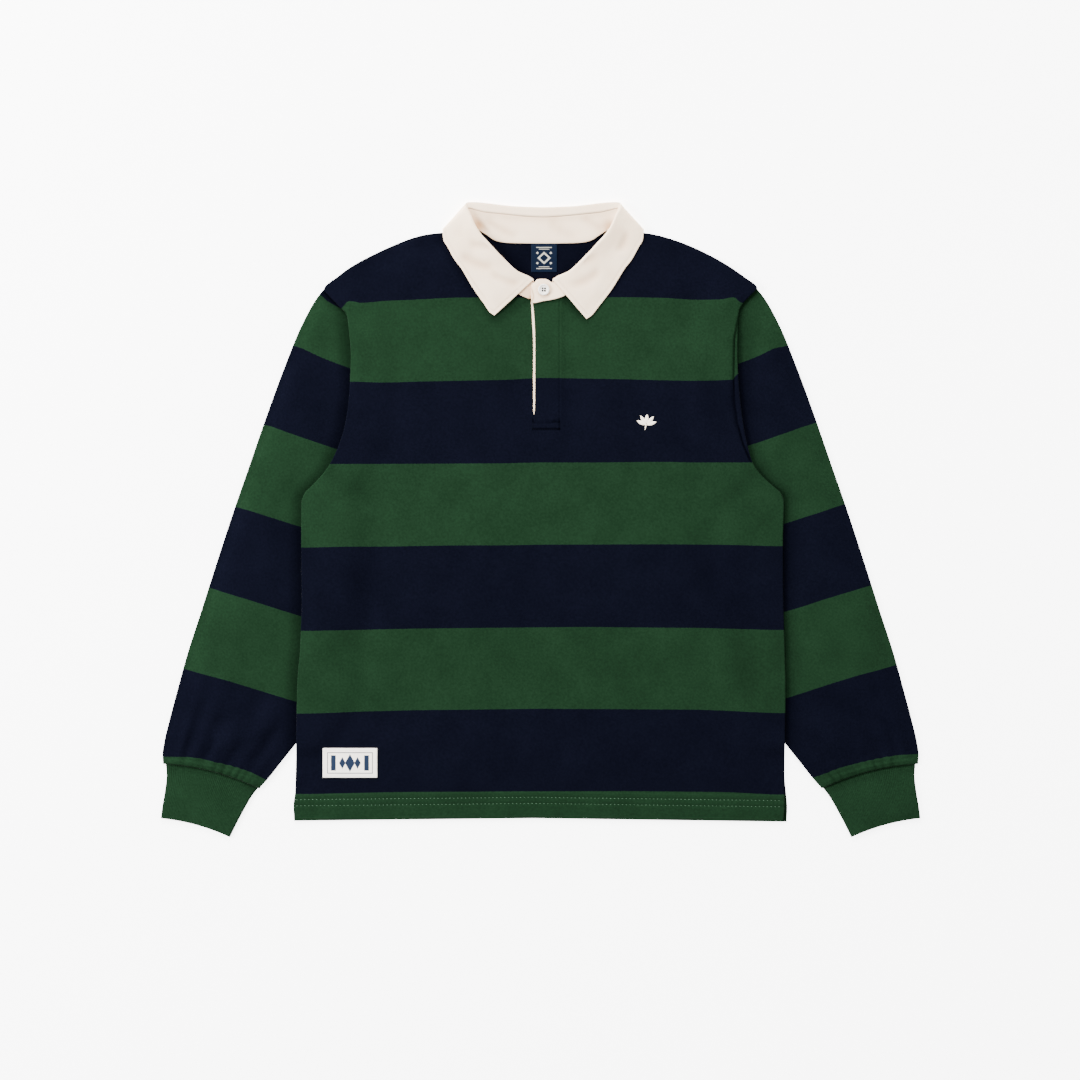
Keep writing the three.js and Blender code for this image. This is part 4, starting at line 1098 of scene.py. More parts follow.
@dataclass(frozen=True)
class Woven:
    """A woven label: a ground of fine weft with simple figures in a second colour, by its own UV map.

    A bar is its left, low, right and high edge. A diamond is its middle and its two half widths.
    """

    name: str
    ground: str
    figure: str
    bars: tuple[Box, ...]
    diamonds: tuple[Box, ...] = ()
    hollows: tuple[Box, ...] = ()
    roughness: float = 0.6
    gloss: float = 0.2
    weft: float = 90.0

    def bar(self, graph: Graph, places: tuple[Socket, Socket], shape: Box) -> Socket:
        """Gives 1 inside a bar: past its left and low edges and short of the other two."""
        sides = [
            graph.math("MULTIPLY", graph.math("GREATER_THAN", places[i], shape[i]),
                       graph.math("LESS_THAN", places[i], shape[i + 2]))
            for i in range(2)
        ]
        return graph.math("MULTIPLY", *sides)

    def diamond(self, graph: Graph, places: tuple[Socket, Socket], shape: Box) -> Socket:
        """Gives 1 inside a diamond: where the distances from its middle, in half widths, sum to under 1."""
        away = [
            graph.math("DIVIDE", graph.math("ABSOLUTE", graph.math("SUBTRACT", places[i], shape[i])),
                       shape[i + 2])
            for i in range(2)
        ]
        return graph.math("LESS_THAN", graph.math("ADD", *away), 1.0)

    def build(self) -> Material:
        """Makes the material: its bars and diamonds are shapes in the label's own coordinates."""
        graph = Graph(self.name)
        places = graph.cloth()
        shown: object = 0.0
        figures = ((self.bars, self.bar, "MAXIMUM"), (self.diamonds, self.diamond, "MAXIMUM"),
                   (self.hollows, self.diamond, "SUBTRACT"))
        for shapes, draw, operation in figures:
            for shape in shapes:
                shown = graph.math(operation, shown, draw(graph, places, shape))
        tint = graph.mix(shown, self.ground, self.figure)
        fibre = graph.math("MULTIPLY_ADD", graph.noise(900.0, 2.0), 0.3, 0.85)
        colour = graph.mix(1.0, tint, fibre, "MULTIPLY")
        wefts = graph.math("PINGPONG", graph.math("MULTIPLY", places[1], self.weft), 0.5)
        return graph.finish(colour, wefts, 0.06, {
            "Roughness": self.roughness, "Specular IOR Level": self.gloss,
        })


@dataclass(frozen=True)
class Plastic:
    """Moulded polyester, as in shirt buttons: glossy and faintly pearly."""

    name: str
    colour: str = "#f5f1ea"
    cloud: str = "#e9e2d6"

    def build(self) -> Material:
        """Makes the material: a warm white with faint clouds under a clear gloss."""
        graph = Graph(self.name)
        cloudy = graph.noise(160.0, 2.0)
        return graph.finish(graph.mix(cloudy, self.colour, self.cloud), cloudy, 0.01, {
            "Roughness": 0.22, "Coat Weight": 0.3, "Subsurface Weight": 0.0,
        })


SMALL_DIAMONDS = tuple((u, v, 0.05, 0.045) for u in (0.24, 0.76) for v in (0.68, 0.32))


@dataclass(frozen=True)
class Finishes:
    """All the shirt's materials, made once."""

    jersey: Material
    rib: Material
    twill: Material
    cream_thread: Material
    green_thread: Material
    navy_thread: Material
    pale_thread: Material
    satin: Material
    patch: Material
    button: Material

    @classmethod
    def build(cls) -> "Finishes":
        """Makes the materials."""
        return cls(
            jersey=Jersey("striped cotton jersey").build(),
            rib=Jersey("green cotton ribbing", Pattern.RIBBED, wale=1.1).build(),
            twill=Twill("cream cotton twill").build(),
            cream_thread=Thread("cream sewing thread", "#f3e6d2", "#fff3e0").build(),
            green_thread=Thread("green sewing thread", "#13281a", "#1b3323").build(),
            navy_thread=Thread("navy sewing thread", "#04050a", "#080a12").build(),
            pale_thread=Thread("pale hem thread", "#49674f", "#6a8771").build(),
            satin=Woven(
                "navy woven satin", "#050f1f", "#a3a096",
                bars=((0.20, 0.86, 0.80, 0.885), (0.30, 0.80, 0.70, 0.82), (0.30, 0.18, 0.70, 0.20),
                      (0.20, 0.115, 0.80, 0.14)),
                diamonds=((0.5, 0.5, 0.26, 0.22), *SMALL_DIAMONDS), hollows=((0.5, 0.5, 0.17, 0.145),),
                roughness=0.55, gloss=0.05,
            ).build(),
            patch=Woven(
                "cream woven patch", "#f9f3e8", "#0c1c33",
                bars=((0.08, 0.14, 0.92, 0.165), (0.08, 0.835, 0.92, 0.86), (0.08, 0.14, 0.093, 0.86),
                      (0.907, 0.14, 0.92, 0.86), (0.15, 0.24, 0.24, 0.76), (0.76, 0.24, 0.85, 0.76)),
                diamonds=((0.36, 0.5, 0.06, 0.2), (0.5, 0.5, 0.09, 0.3), (0.64, 0.5, 0.06, 0.2)),
                roughness=0.75, weft=60.0,
            ).build(),
            button=Plastic("moulded polyester button").build(),
        )


def place_piece(piece: Object, slot: str, *nodes: str) -> Object:
    """Rides a piece on the shirt and hides the solids it stands for."""
    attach(piece, "root")
    if nodes:
        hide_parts(*nodes)
    logging.info("built %s", piece.name)
    return piece


# Sub-assemblies

@dataclass(frozen=True)
class Plan:
    """A panel's grid of places, and its faces over the points that it keeps."""

    x: Array
    y: Array
    faces: Array
    kept: Array

    def keep(self, grid: Array) -> Array:
        """Gives a grid's values at the kept points."""
        return grid.ravel()[self.kept]


@dataclass
class Body:
    """The body's two panels of striped jersey, sewn at the shoulders and sides and open below."""

    finishes: Finishes
    stripes: StripeField
    top: float = 275.4
    bottom: float = -360.6
    middle_top: float = 263.4
    middle_bottom: float = -357.6
    right_top: float = 277.7
    right_bottom: float = -361.8
    left_width: float = 247.0
    right_width: float = 269.0
    left_columns: tuple[float, float] = (-260.2, -13.0)
    right_columns: tuple[float, float] = (-9.4, 259.9)
    slit_row: float = 130.0
    close: tuple[float, ...] = (0.25, 0.7, 1.3, 2.0, 2.7, 3.4, 4.1, 4.8, 5.6, 6.5, 7.6, 9.2)
    front_step: float = 4.3
    back_step: float = 7.5
    placket_seam: float = 28.0
    placket_rows: tuple[float, float] = (103.0, 123.0)
    least_wall: float = 0.35

    def half(self, v: Array, u: Array, side: int, line: TopLine, flare: float) -> tuple[Array, Array]:
        """Gives the plan of one half panel.

        A point lies on the straight line between the panel's side and the slit at its row, moved up to
        the neckline and shoulder by a share that fades with the third power down the panel.

        Args:
            v: rows, 0 at the top to 1 at the hem.
            u: columns, 0 at the left to 1 at the right.
            side: -1 for the left half, 1 for the right one.
            line: the panel's top line.
            flare: how much of the side vent's flare it has.

        Returns:
            Places across and heights.
        """
        left_y = lerp(self.top, self.bottom, v)
        right_y = lerp(self.right_top, self.right_bottom, v)
        middle_y = lerp(self.middle_top, self.middle_bottom, v)
        if side < 0:
            start, end = self.left_columns
            ax, ay, a_top = LEFT(left_y), left_y, self.top
            bx, by, b_top = SLIT_LEFT(middle_y), middle_y, self.middle_top
        else:
            start, end = self.right_columns
            ax, ay, a_top = SLIT_RIGHT(middle_y), middle_y, self.middle_top
            bx, by, b_top = RIGHT(right_y) + flare * FLARE(right_y), right_y, self.right_top
        fade = (1 - v) ** 3
        rise = line(lerp(start, end, u)) - lerp(a_top, b_top, u)
        x = lerp(ax[:, None], bx[:, None], u[None])
        y = lerp(ay[:, None], by[:, None], u[None]) + fade[:, None] * rise[None]
        return x, y

    def plan(self, line: TopLine, flare: float, step: float, slit: bool) -> Plan:
        """Gives a whole panel's plan.

        Args:
            line: the panel's top line.
            flare: how much of the side vent's flare it has.
            step: distance between two points in its middle.
            slit: whether the placket's slit is open.

        Returns:
            The plan.
        """
        span = self.top - self.bottom
        v = near_edges(span, step, self.close)
        hem_rows = 1 - np.arange(7.5, 36, 1.0) / span
        slit_v = (self.top - self.slit_row) / span
        box_low, box_high = self.placket_rows
        rows = [v[v < 1 - 36.5 / span], hem_rows, v[v > 1 - 7 / span], [slit_v]]
        u_left = near_edges(self.left_width, step, self.close)
        u_right = near_edges(self.right_width, step, self.close)
        if slit:
            rows.append((self.top - np.arange(box_low, box_high, 0.9)) / span)
            seam_u = (self.placket_seam + np.arange(-4.5, 5.0, 0.9)) / self.left_width
            u_right = np.concatenate([u_right, seam_u])
        v = np.unique(np.round(np.concatenate(rows), 5))
        v = v[np.concatenate([[True], np.diff(v) > 2e-4])]
        v[np.abs(v - slit_v).argmin()] = slit_v
        u_right = np.unique(np.round(u_right, 5))
        lx, ly = self.half(v, u_left, -1, line, flare)
        rx, ry = self.half(v, u_right, 1, line, flare)
        joined = (v >= slit_v - 1e-5) if slit else np.ones(len(v), bool)
        middle = (lx[:, -1] + rx[:, 0]) / 2
        lx[joined, -1] = middle[joined]
        rx[joined, 0] = middle[joined]
        x, y = np.hstack([lx, rx]), np.hstack([ly, ry])
        rows, columns = x.shape
        seam = len(u_left)
        faces = grid_faces(rows, columns)
        touched = faces % columns
        faces = faces[~((touched == seam).any(1) & (touched == seam - 1).any(1))]
        join = (faces % columns == seam) & joined[faces // columns]
        faces = np.where(join, faces - 1, faces)
        kept, faces = np.unique(faces, return_inverse=True)
        return Plan(x, y, faces.reshape(-1, 4), kept)

    def panel(self, name: str, plan: Plan, top: Array, bottom: Array, painted_shade: Array) -> Object:
        """Makes a closed panel.

        Args:
            name: the piece's name.
            plan: its places and faces.
            top: heights of its upper skin.
            bottom: heights of its lower skin.
            painted_shade: how much painted shade darkens each point.

        Returns:
            The object.
        """
        x, y = plan.keep(plan.x), plan.keep(plan.y)
        upper, lower = np.stack([x, y, plan.keep(top)], -1), np.stack([x, y, plan.keep(bottom)], -1)
        points, quads = closed_wall(upper, lower, plan.faces)
        uv = np.tile(self.stripes.coordinates(x, y), (2, 1))
        return add_piece(name, points, quads, self.finishes.jersey, uv, np.tile(plan.keep(painted_shade), 2))

    def back(self) -> None:
        """Builds the back panel, plain and coarse because only its neck and edges show."""
        plan = self.plan(BACK_TOP, 1.0, self.back_step, False)
        x, y = plan.x, plan.y
        sides = np.minimum(x - LEFT(y), RIGHT(y) + FLARE(y) - x)
        rolled = rounded(np.maximum(np.minimum(sides, BODY.hem_distance(x, y) + 0.2), 0), BODY.edge_radius)
        bottom = BODY.back_bottom(x, y)
        # Painted shade: the back darkens towards its right edge above the vent, and towards the neck
        shade = 0.75 * smooth(x, 200, 288) * (1 - smooth(y, -320, -300)) + 0.3 * smooth(y, 200, 290)
        piece = self.panel("back_cloth", plan, bottom + JERSEY, bottom + 0.55 * rolled, shade)
        place_piece(piece, "jersey_navy", "back_panel")

    def front(self) -> None:
        """Builds the front panel with its folds, turned hem and open placket slit."""
        plan = self.plan(FRONT_TOP, 0.0, self.front_step, True)
        x, y = plan.x, plan.y
        base, bottom, top = BODY.front_base(x, y), BODY.front_bottom(x, y), BODY.front_top(x, y)
        seam = len(near_edges(self.left_width, self.front_step, self.close))
        left = np.arange(x.shape[1])[None] < seam
        top = np.where(left, top - (bottom - base), top)
        bottom = np.where(left, base, bottom)
        top = np.maximum(top, bottom + self.least_wall)
        piece = self.panel("front_cloth", plan, top, bottom, BODY.front_painted_shade(x, y))
        place_piece(piece, "jersey", "front_panel")
        stitches = self.front_stitches()

    def front_stitches(self) -> list[Object]:
        """Sews the hem's two rows, the placket's pressed edge and its box."""
        hem = np.array(HEM_LINE)
        across = np.arange(-293.0, 290.0, 4.0)
        level = np.interp(across, hem[:, 0], hem[:, 1])
        heights = np.arange(119.0, 262.0, 6.0)
        edge = np.stack([SLIT_RIGHT(heights) + 2.4, heights], -1)
        high, low = BOX_ROWS
        pieces = (
            ("hem_stitches", [np.stack([across, level + row], -1) for row in HEM_STITCHES],
             Stitch(1.7, 4.7, 0.45, 0.3), self.finishes.pale_thread, "jersey"),
            ("placket_box_stitches",
             [edge[heights < 170], *([(-9.5, row), (22.5, row)] for row in BOX_ROWS),
              [(-9.7, low), (-9.7, high)]],
             Stitch(2.0, 2.7, 0.45, 0.3), self.finishes.navy_thread, "jersey_navy"),
            ("placket_edge_stitches", [edge[heights > 169]],
             Stitch(2.0, 2.7, 0.4, 0.3), self.finishes.green_thread, "jersey"),
        )
        return [
            place_piece(stitch_piece(name, [on_front(route) for route in routes], stitch, thread), slot)
            for name, routes, stitch, thread, slot in pieces
        ]


@dataclass
class FlatTube:
    """A flattened open tube of cloth between a table's sections, with rounded folds at both edges."""

    sections: Curve
    last: float
    wall: float
    hand: int
    overhang: float = 0.0

    def ring(self, top: int, under: int, arc: int = 6) -> tuple[Array, Array, Array]:
        """Gives the places round the tube: over the top, round the inner fold, back below, round the outer.

        Args:
            top: number of places over the top.
            under: number of places below.
            arc: number of places round each fold.

        Returns:
            Which edge a place belongs to (0 outer, 1 inner, -1 neither), its angle from the edge or its
            share of the width, and 1 above or -1 below.
        """
        turn = np.linspace(-90, 90, arc * 2 + 1)[1:-1]
        shares = (np.arange(top) + 0.5) / top
        below = (np.arange(under)[::-1] + 0.5) / under
        zeros, ones = np.zeros(len(turn)), np.ones(len(turn))
        side = np.concatenate([zeros, np.full(top, -1.0), ones, np.full(under, -1.0)])
        value = np.concatenate([turn, shares, turn[::-1], below])
        face = np.concatenate([np.sign(turn), np.ones(top), np.sign(turn[::-1]), -np.ones(under)])
        return side, value, face

    def skins(
        self,
        rows: Array,
        ring: tuple[Array, Array, Array],
        raise_by: Callable[[Array, Array, Array, Array], Array],
        relief: Optional[Height] = None,
    ) -> tuple[Array, Array]:
        """Gives the tube's outer and inner skins.

        Across a fold both skins are half circles about the same centre. Between the folds they are level,
        raised on the upper side by raise_by, and the outer one also by relief.

        Args:
            rows: places along the tube, counted in table rows.
            ring: places round it.
            raise_by: height to add above, from x, y, share and row.
            relief: height to add to the outer skin alone, from share and row.

        Returns:
            Points of the outer and the inner skin, row by row.
        """
        side, value, face = ring
        flat = 2 * self.wall + GAP
        centre = flat / 2
        section = self.sections(np.minimum(rows, self.last))[:, None, :]
        past = self.overhang * np.maximum(rows - self.last, 0.0)[:, None]
        width = section_width(section)
        angle = np.radians(np.where(side >= 0, value, 90.0 * face))
        skins = []
        for radius in (centre, centre - self.wall):
            inset = centre - radius * np.cos(angle)
            middle = lerp(centre, width - centre, value)
            reach = np.where(side < 0, middle, np.where(side == 0, inset, width - inset))
            share = reach / width
            chord = np.broadcast_to(section, share.shape + (5,))
            grid_rows = np.broadcast_to(rows[:, None], share.shape)
            x, y = section_point(chord, share)
            above = np.clip(np.sin(angle), 0, 1) * np.ones_like(share)
            z = centre + radius * np.sin(angle) + above * raise_by(x, y, share, grid_rows)
            x = x + past * above * (chord[..., 3] - chord[..., 1]) / width
            y = y - past * above * (chord[..., 2] - chord[..., 0]) / width
            if relief and radius == centre:
                z = z + np.where(above > 0.99, relief(share, grid_rows), 0.0)
            skins.append(np.stack([-self.hand * x, y, z], -1))
        return skins[0], skins[1]


@dataclass
class Sleeve:
    """A long sleeve of striped jersey with its cuff: a flat tube, puffed and gathered above the ribbing."""

    finishes: Finishes
    stripes: StripeField
    hand: int
    phase: float
    creases: tuple[Crease, ...]
    crown: float = 2.2
    bank: float = 1.4
    puff: float = 3.2
    gathers: float = 6.0
    puckers: float = 12.0
    jog: float = 0.004
    close_rows: tuple[float, float] = (12, 13.8)
    lip: float = 2.2
    ribs: int = 48
    rib_height: float = 0.42

    @property
    def side_name(self) -> str:
        """The side on which it shows."""
        return "left" if self.hand < 0 else "right"

    def body_edge(self, y: Array) -> Array:
        """Gives how far out the body covers the sleeve."""
        return -LEFT(y) if self.hand < 0 else RIGHT(y)

    def raise_by(self, x: Array, y: Array, share: Array, row: Array) -> Array:
        """Gives the air, folds and gathers of the upper side, none under the body.

        Args:
            x: places across, on the left sleeve's side.
            y: heights up the shirt.
            share: 0 at the outer edge to 1 at the inner one.
            row: places along the sleeve, counted in table rows.

        Returns:
            Heights to add.
        """
        section = SLEEVE_AT(row)
        width = section_width(section)
        edges = smooth(share * width, 1, 26) * smooth((1 - share) * width, 1, 26)
        past = -x - self.body_edge(y)
        clear = smooth(past, 10, 45)
        wobble = self.gathers * (share + 0.06 * np.sin(5 * share))
        waves = 1 + 0.45 * np.sin(2 * np.pi * wobble + self.phase)
        puff = PUFF_AT(row)
        crown = self.crown * (1 - puff) * np.minimum(1, row / 3) * (1 - smooth(row, 13, 14))
        height = edges * clear * (crown + self.puff * puff * waves / 1.45)
        height = height + self.bank * smooth(past, 1, 15) * smooth(share * width, 1, 16)
        near = smooth(share * width, 0, 12) * smooth((1 - share) * width, 0, 12) * smooth(past, 4, 18)
        folds = raised_by(self.creases, x, y) + 0.3 * soft_noise(x, y, 34, SEED + 5 + self.hand)
        band = 0.27 * smooth(row, 12.2, 13.4) * self.pucker(share)
        roll = 1.5 * smooth(row, 13.3, 13.8)
        lip = -2.4 * (1 - np.sqrt(1 - np.clip((row - 13.8) / 1.21, 0, 0.999) ** 2))
        return np.maximum(height + (folds * (1 - smooth(row, 13.3, 14)) + band + roll) * near + lip, -1.1)

    def pucker(self, share: Array) -> Array:
        """Gives the uneven small gathers along the cuff seam, from -1 to 1."""
        turn = 2 * np.pi * self.puckers * share + 2.6 * np.sin(7 * share + self.phase)
        part = 0.35 + 0.65 * smooth(np.sin(11 * share + 2 * self.phase), -0.6, 0.6)
        return np.sin(turn) * part * smooth(share, 0.12, 0.3) * (1 - smooth(share, 0.88, 0.98))

    def tube(self) -> None:
        """Builds the sleeve: its last rows roll over the cuff's seam as a quarter turn."""
        form = FlatTube(SLEEVE_AT, 14, JERSEY, self.hand, self.lip)
        start, end = self.close_rows
        rows = np.concatenate([np.linspace(0, start, 104)[:-1], np.linspace(start, end, 36)[:-1],
                               end + 1.2 * np.sin(np.linspace(0, np.pi / 2, 9))])
        ring = form.ring(132, 26)
        outer, inner = form.skins(rows, ring, self.raise_by)
        points, quads = grid_wall(outer, inner, True)
        uv = self.stripes.coordinates(points[:, 0], points[:, 1])
        pucker = self.pucker(np.clip(np.where(ring[0] < 0, ring[1], 0.0), 0, 1))
        jog = self.jog * smooth(rows, 12.2, 13.2)[:, None] * (pucker * (ring[2] > 0))[None]
        uv[:, 1] += np.tile(jog.ravel(), 2)
        past = self.hand * outer[..., 0] - self.body_edge(outer[..., 1])
        # Painted shade: the sleeve darkens next to the body's edge and in the troughs of the puckers by the
        # cuff
        painted_shadow = 0.62 * (1 - smooth(past, -2, 26)) ** 1.5
        painted_shadow = painted_shadow + 0.3 * smooth(rows, 12.4, 13.6)[:, None] * np.maximum(-pucker, 0)[None]
        piece = add_piece(f"sleeve_cloth_{self.side_name}", points, quads, self.finishes.jersey, uv,
                          np.tile(painted_shadow.ravel(), 2))
        place_piece(piece, "jersey", f"sleeve_{self.side_name}")

    def rib_relief(self, share: Array, row: Array) -> Array:
        """Gives the ribs: a rounded wave across the cuff, highest by the seam and flatter at the end."""
        ends = (1 - 0.45 * smooth(row, 0.5, 2.5)) * (1 - 0.5 * smooth(row, 3.8, 4.0))
        return self.rib_height * ends * (np.abs(np.sin(np.pi * self.ribs * share)) - 0.4)

    def cuff_raise(self, x: Array, y: Array, share: Array, row: Array) -> Array:
        """Gives the cuff's own soft swell, and its start that is drawn in under the sleeve.

        Args:
            x: places across, unused as in every cuff.
            y: heights up the shirt, unused too.
            share: 0 at the outer edge to 1 at the inner one.
            row: places along the cuff, counted in table rows.

        Returns:
            Heights to add.
        """
        swell = 0.8 * np.sin(np.pi * np.clip(share, 0, 1)) * np.sin(np.pi * np.clip(row / 4, 0, 1))
        return swell - 1.6 * (1 - smooth(row, 0.0, 0.45))

    def cuff(self) -> None:
        """Builds the ribbed cuff."""
        form = FlatTube(CUFF_AT, 4, RIB_WALL, self.hand)
        rows = np.concatenate([np.linspace(0, 0.6, 9)[:-1], np.linspace(0.6, 3.8, 15)[:-1],
                               np.linspace(3.8, 4, 5)])
        ring = form.ring(4 * self.ribs, 40)
        outer, inner = form.skins(rows, ring, self.cuff_raise, self.rib_relief)
        points, quads = grid_wall(outer, inner, True)
        shares = np.where(ring[0] < 0, ring[1], np.where(ring[0] == 0, 0.0, 1.0))
        count_across, count_down = np.meshgrid(shares * self.ribs, rows / 4)
        uv = np.tile(np.stack([count_across.ravel(), count_down.ravel()], -1), (2, 1))
        # Painted shadow on the cuff's top, where the sleeve's lip overhangs it
        painted_shadow = np.tile(np.repeat(0.3 * (1 - smooth(rows, 0.2, 1.1)), outer.shape[1]), 2)
        piece = add_piece(f"cuff_rib_{self.side_name}", points, quads, self.finishes.rib, uv, painted_shadow)
        place_piece(piece, "rib", f"cuff_{self.side_name}")

    def build(self) -> None:
        """Builds the sleeve and its cuff."""
        self.tube()
        self.cuff()


@dataclass
class Collar:
    """The cream twill collar: a stand round the neck and a fall rolled over it, with two points."""

    finishes: Finishes
    steps_along: int = 210
    fall_steps: int = 44
    clearance: float = 0.5
    stitch_inset: float = 4.6
    shown_above: float = 4.5
    edge_wall: tuple[float, ...] = (0.3, 0.72, 0.93)
    # Places for the painted shade round the button and in the neck's corners, and that shade's reach
    button_place: tuple[float, float] = (4.4, 275.0)
    neck_corners: tuple[tuple[float, float], ...] = ((-76, 352), (82, 352))
    corner_reach: float = 8.5

    def half(self, hand: int) -> dict[str, Array]:
        """Gives one half's section points, from the front end to the back's middle.

        Args:
            hand: -1 for the left half, 1 for the right one.

        Returns:
            Arrays named seam, top, roll and edge, and the fold's turn and lay.
        """
        table = np.array(COLLAR, float)
        count = len(table)
        rise = np.zeros(count)
        shift = np.zeros(count)
        if hand > 0:
            rise[:len(OVERLAP_RISE)] = COLLAR_LIFT * np.array(OVERLAP_RISE)
            shift[:len(RIGHT_POINT_FADE)] = RIGHT_POINT_FADE

        def at(reach: Array, y: Array, z: Array) -> Array:
            """Turns a reach into a place."""
            return np.stack([NECK_X + hand * reach, y, z + rise], -1)

        seam = at(table[:, 0], table[:, 1], np.zeros(count))
        body = BODY.back_top(seam[:, 0], seam[:, 1])
        body = body + table[:, 13] * (GAP + JERSEY + BODY.ease(seam[:, 0], seam[:, 1]))
        seam[:, 2] += body + GAP + 0.15 + TWILL / 2
        edge = at(table[:, 10], table[:, 11], np.zeros(count))
        edge[:, 0] += shift * RIGHT_POINT_SHIFT[0]
        edge[:, 1] += shift * RIGHT_POINT_SHIFT[1]
        on_top = BODY.front_solid_top(edge[:, 0], edge[:, 1]) + GAP + 0.1 + TWILL / 2
        edge[:, 2] = lerp(TWILL / 2, on_top, (table[:, 12] + 1) / 2)
        return {
            "seam": seam, "top": at(*table[:, 2:5].T), "roll": at(*table[:, 5:8].T), "edge": edge,
            "turn": table[:, 8], "lay": table[:, 9] + rise,
        }

    def ring(self) -> dict[str, Array]:
        """Gives all sections in order, from the under end round the back to the overlapping end."""
        left, right = self.half(-1), self.half(1)
        return {key: np.concatenate([left[key], right[key][:-1][::-1]]) for key in left}

    def spread(self, controls: Array, along: Array, across: Array) -> Array:
        """Gives a surface on smooth curves through control points, first along and then across.

        Args:
            controls: sections by points by 3.
            along: places along, counted in sections.
            across: places across, counted in points.

        Returns:
            A grid of points.
        """
        sections, count = controls.shape[:2]
        rows = Curve.of(range(sections), controls.reshape(sections, -1))(along).reshape(len(along), count, 3)
        turned = rows.transpose(1, 0, 2).reshape(count, -1)
        return Curve.of(range(count), turned)(across).reshape(len(across), len(along), 3).transpose(1, 0, 2)

    def wall(
        self, name: str, surface: Surface, edges: Array, relief: Array, painted_shade: Array,
    ) -> Object:
        """Gives a surface its thickness, thin at the edges so that they look rounded.

        Args:
            name: the piece's name.
            surface: its middle.
            edges: how thick it is at each point, from 0 to 1.
            relief: height to add to its outer side.
            painted_shade: how much painted shade darkens each point.

        Returns:
            The object.
        """
        half = TWILL / 2 * edges
        upper, lower = surface.moved(half + relief), surface.moved(-half)
        points, quads = grid_wall(upper, lower)
        uv, painted_shadow = points[:, :2] / STRIPE, np.tile(painted_shade.ravel(), 2)
        return add_piece(name, points, quads, self.finishes.twill, uv, painted_shadow)

    def stand_rows(self, seam: Array, top: Array, clearance: float) -> Array:
        """Gives the stand's control points from its seam to under the fall, slightly bowed.

        Args:
            seam: points on its seam.
            top: points under the roll.
            clearance: how far short of them it ends.

        Returns:
            Sections by five points.
        """
        length = np.linalg.norm(top - seam, axis=1)
        stop = (1 - clearance / length)[:, None] * np.linspace(0, 1, 5)[None]
        points = lerp(seam[:, None], top[:, None], stop[..., None])
        points[..., 2] += 0.8 * np.sin(np.pi * stop) * smooth(top[:, 2], 6, 11)[:, None]
        return points

    def stand_end(self, table: Sequence[Sequence[float]], z: float) -> Array:
        """Gives the control points of an end of the stand from its table and height."""
        x, seam, top = np.array(table).T
        level = np.full(len(x), z)
        return self.stand_rows(np.stack([x, seam, level], -1), np.stack([x, top, level], -1), 0.0)

    def stand_painted_shade(self, points: Array, across: Array) -> Array:
        """Gives how much painted shade each place of the stand gets.

        That is below the roll, at the seam, in the neck's corners, under the overlapping end, along that
        end's rim, round the button and in the creases.

        Args:
            points: the stand's middle surface.
            across: its places across, counted in points.

        Returns:
            Shares of full shade.
        """
        x, y = points[..., 0], points[..., 1]
        front = smooth(y, 300, 280)
        roll = (1 - smooth(4 - across, 0, 1.3))[None] * (1 - front)
        seam = (1 - smooth(across, 0.35, 0.75))[None] * (1 - front)
        corners = sum((np.exp(-(np.hypot(x - cx, y - cy) / self.corner_reach) ** 2)
                       for cx, cy in self.neck_corners), 0.0)
        under = (1 - smooth(x, -12.5, -9.5)) * (1 - smooth(y, 288, 292)) * smooth(x, -60, -30)
        rim = -groove(np.linalg.norm(points - points[-1:], axis=-1) - 2.8, 0.8, 0.9)
        button_x, button_y = self.button_place
        button = 0.3 * (1 - smooth(np.hypot(x - button_x, y - button_y), 7, 12)) * front
        shade = 0.3 * roll + 0.16 * seam + 0.8 * corners + 0.6 * under + rim + button
        return shade - 0.42 * np.minimum(raised_by(STAND_CREASES, x, y), 0)

    def stand(self) -> None:
        """Builds the stand with its rounded, overlapping ends and its rows of stitches."""
        ring = self.ring()
        controls = np.concatenate([
            self.stand_end(STAND_UNDER_END, ring["seam"][0, 2]),
            self.stand_rows(ring["seam"], ring["top"], self.clearance),
            self.stand_end(STAND_OVER_END, ring["seam"][-1, 2]),
        ])
        last = len(controls) - 1
        along = np.concatenate([np.linspace(0, 5, 30)[:-1], np.linspace(5, last - 6, 150)[:-1],
                                np.linspace(last - 6, last, 36)])
        across = 4 * near_edges(20.0, 1.6, (0.2, 0.6, 1.2))
        surface = Surface(self.spread(controls, along, across))
        x, y = surface.points[..., 0], surface.points[..., 1]
        edges = np.ones(x.shape)
        for i, thin in enumerate(self.edge_wall):
            for line in (edges[i], edges[-1 - i], edges[:, i], edges[:, -1 - i]):
                np.minimum(line, thin, out=line)
        waves = 0.15 * soft_noise(x, y, 14, SEED + 8) + raised_by(STAND_CREASES, x, y)
        painted_shade = self.stand_painted_shade(surface.points, across)
        piece = self.wall("collar_stand_twill", surface, edges, waves, painted_shade)
        place_piece(piece, "twill", "collar_stand")
        stitches = self.stand_stitches(surface, along, last)

    def stand_stitches(self, surface: Surface, along: Array, last: float) -> list[Object]:
        """Sews the row above the stand's seam and round its overlapping end.

        Args:
            surface: the stand's middle.
            along: its places along, counted in sections.
            last: the last section's number.

        Returns:
            The pieces.
        """
        top = surface.moved(np.full(surface.points.shape[:2], TWILL / 2 + 0.1))
        numbers = np.arange(len(along))
        rows = np.interp(np.linspace(0, last - 0.8, 500), along, numbers)
        end_rows = rows[rows > np.interp(last - 7, along, numbers)]
        runs = []
        for run, share in ((rows, 0.14), (end_rows, 0.86)):
            column = np.full(len(run), (surface.points.shape[1] - 1) * share)
            runs.append((surface.read(top, run, column), surface.read(surface.normals, run, column)))
        piece = stitch_piece("stand_stitches", runs, Stitch(1.9, 2.5, 0.34, 0.26),
                             self.finishes.cream_thread)
        return [place_piece(piece, "twill")]

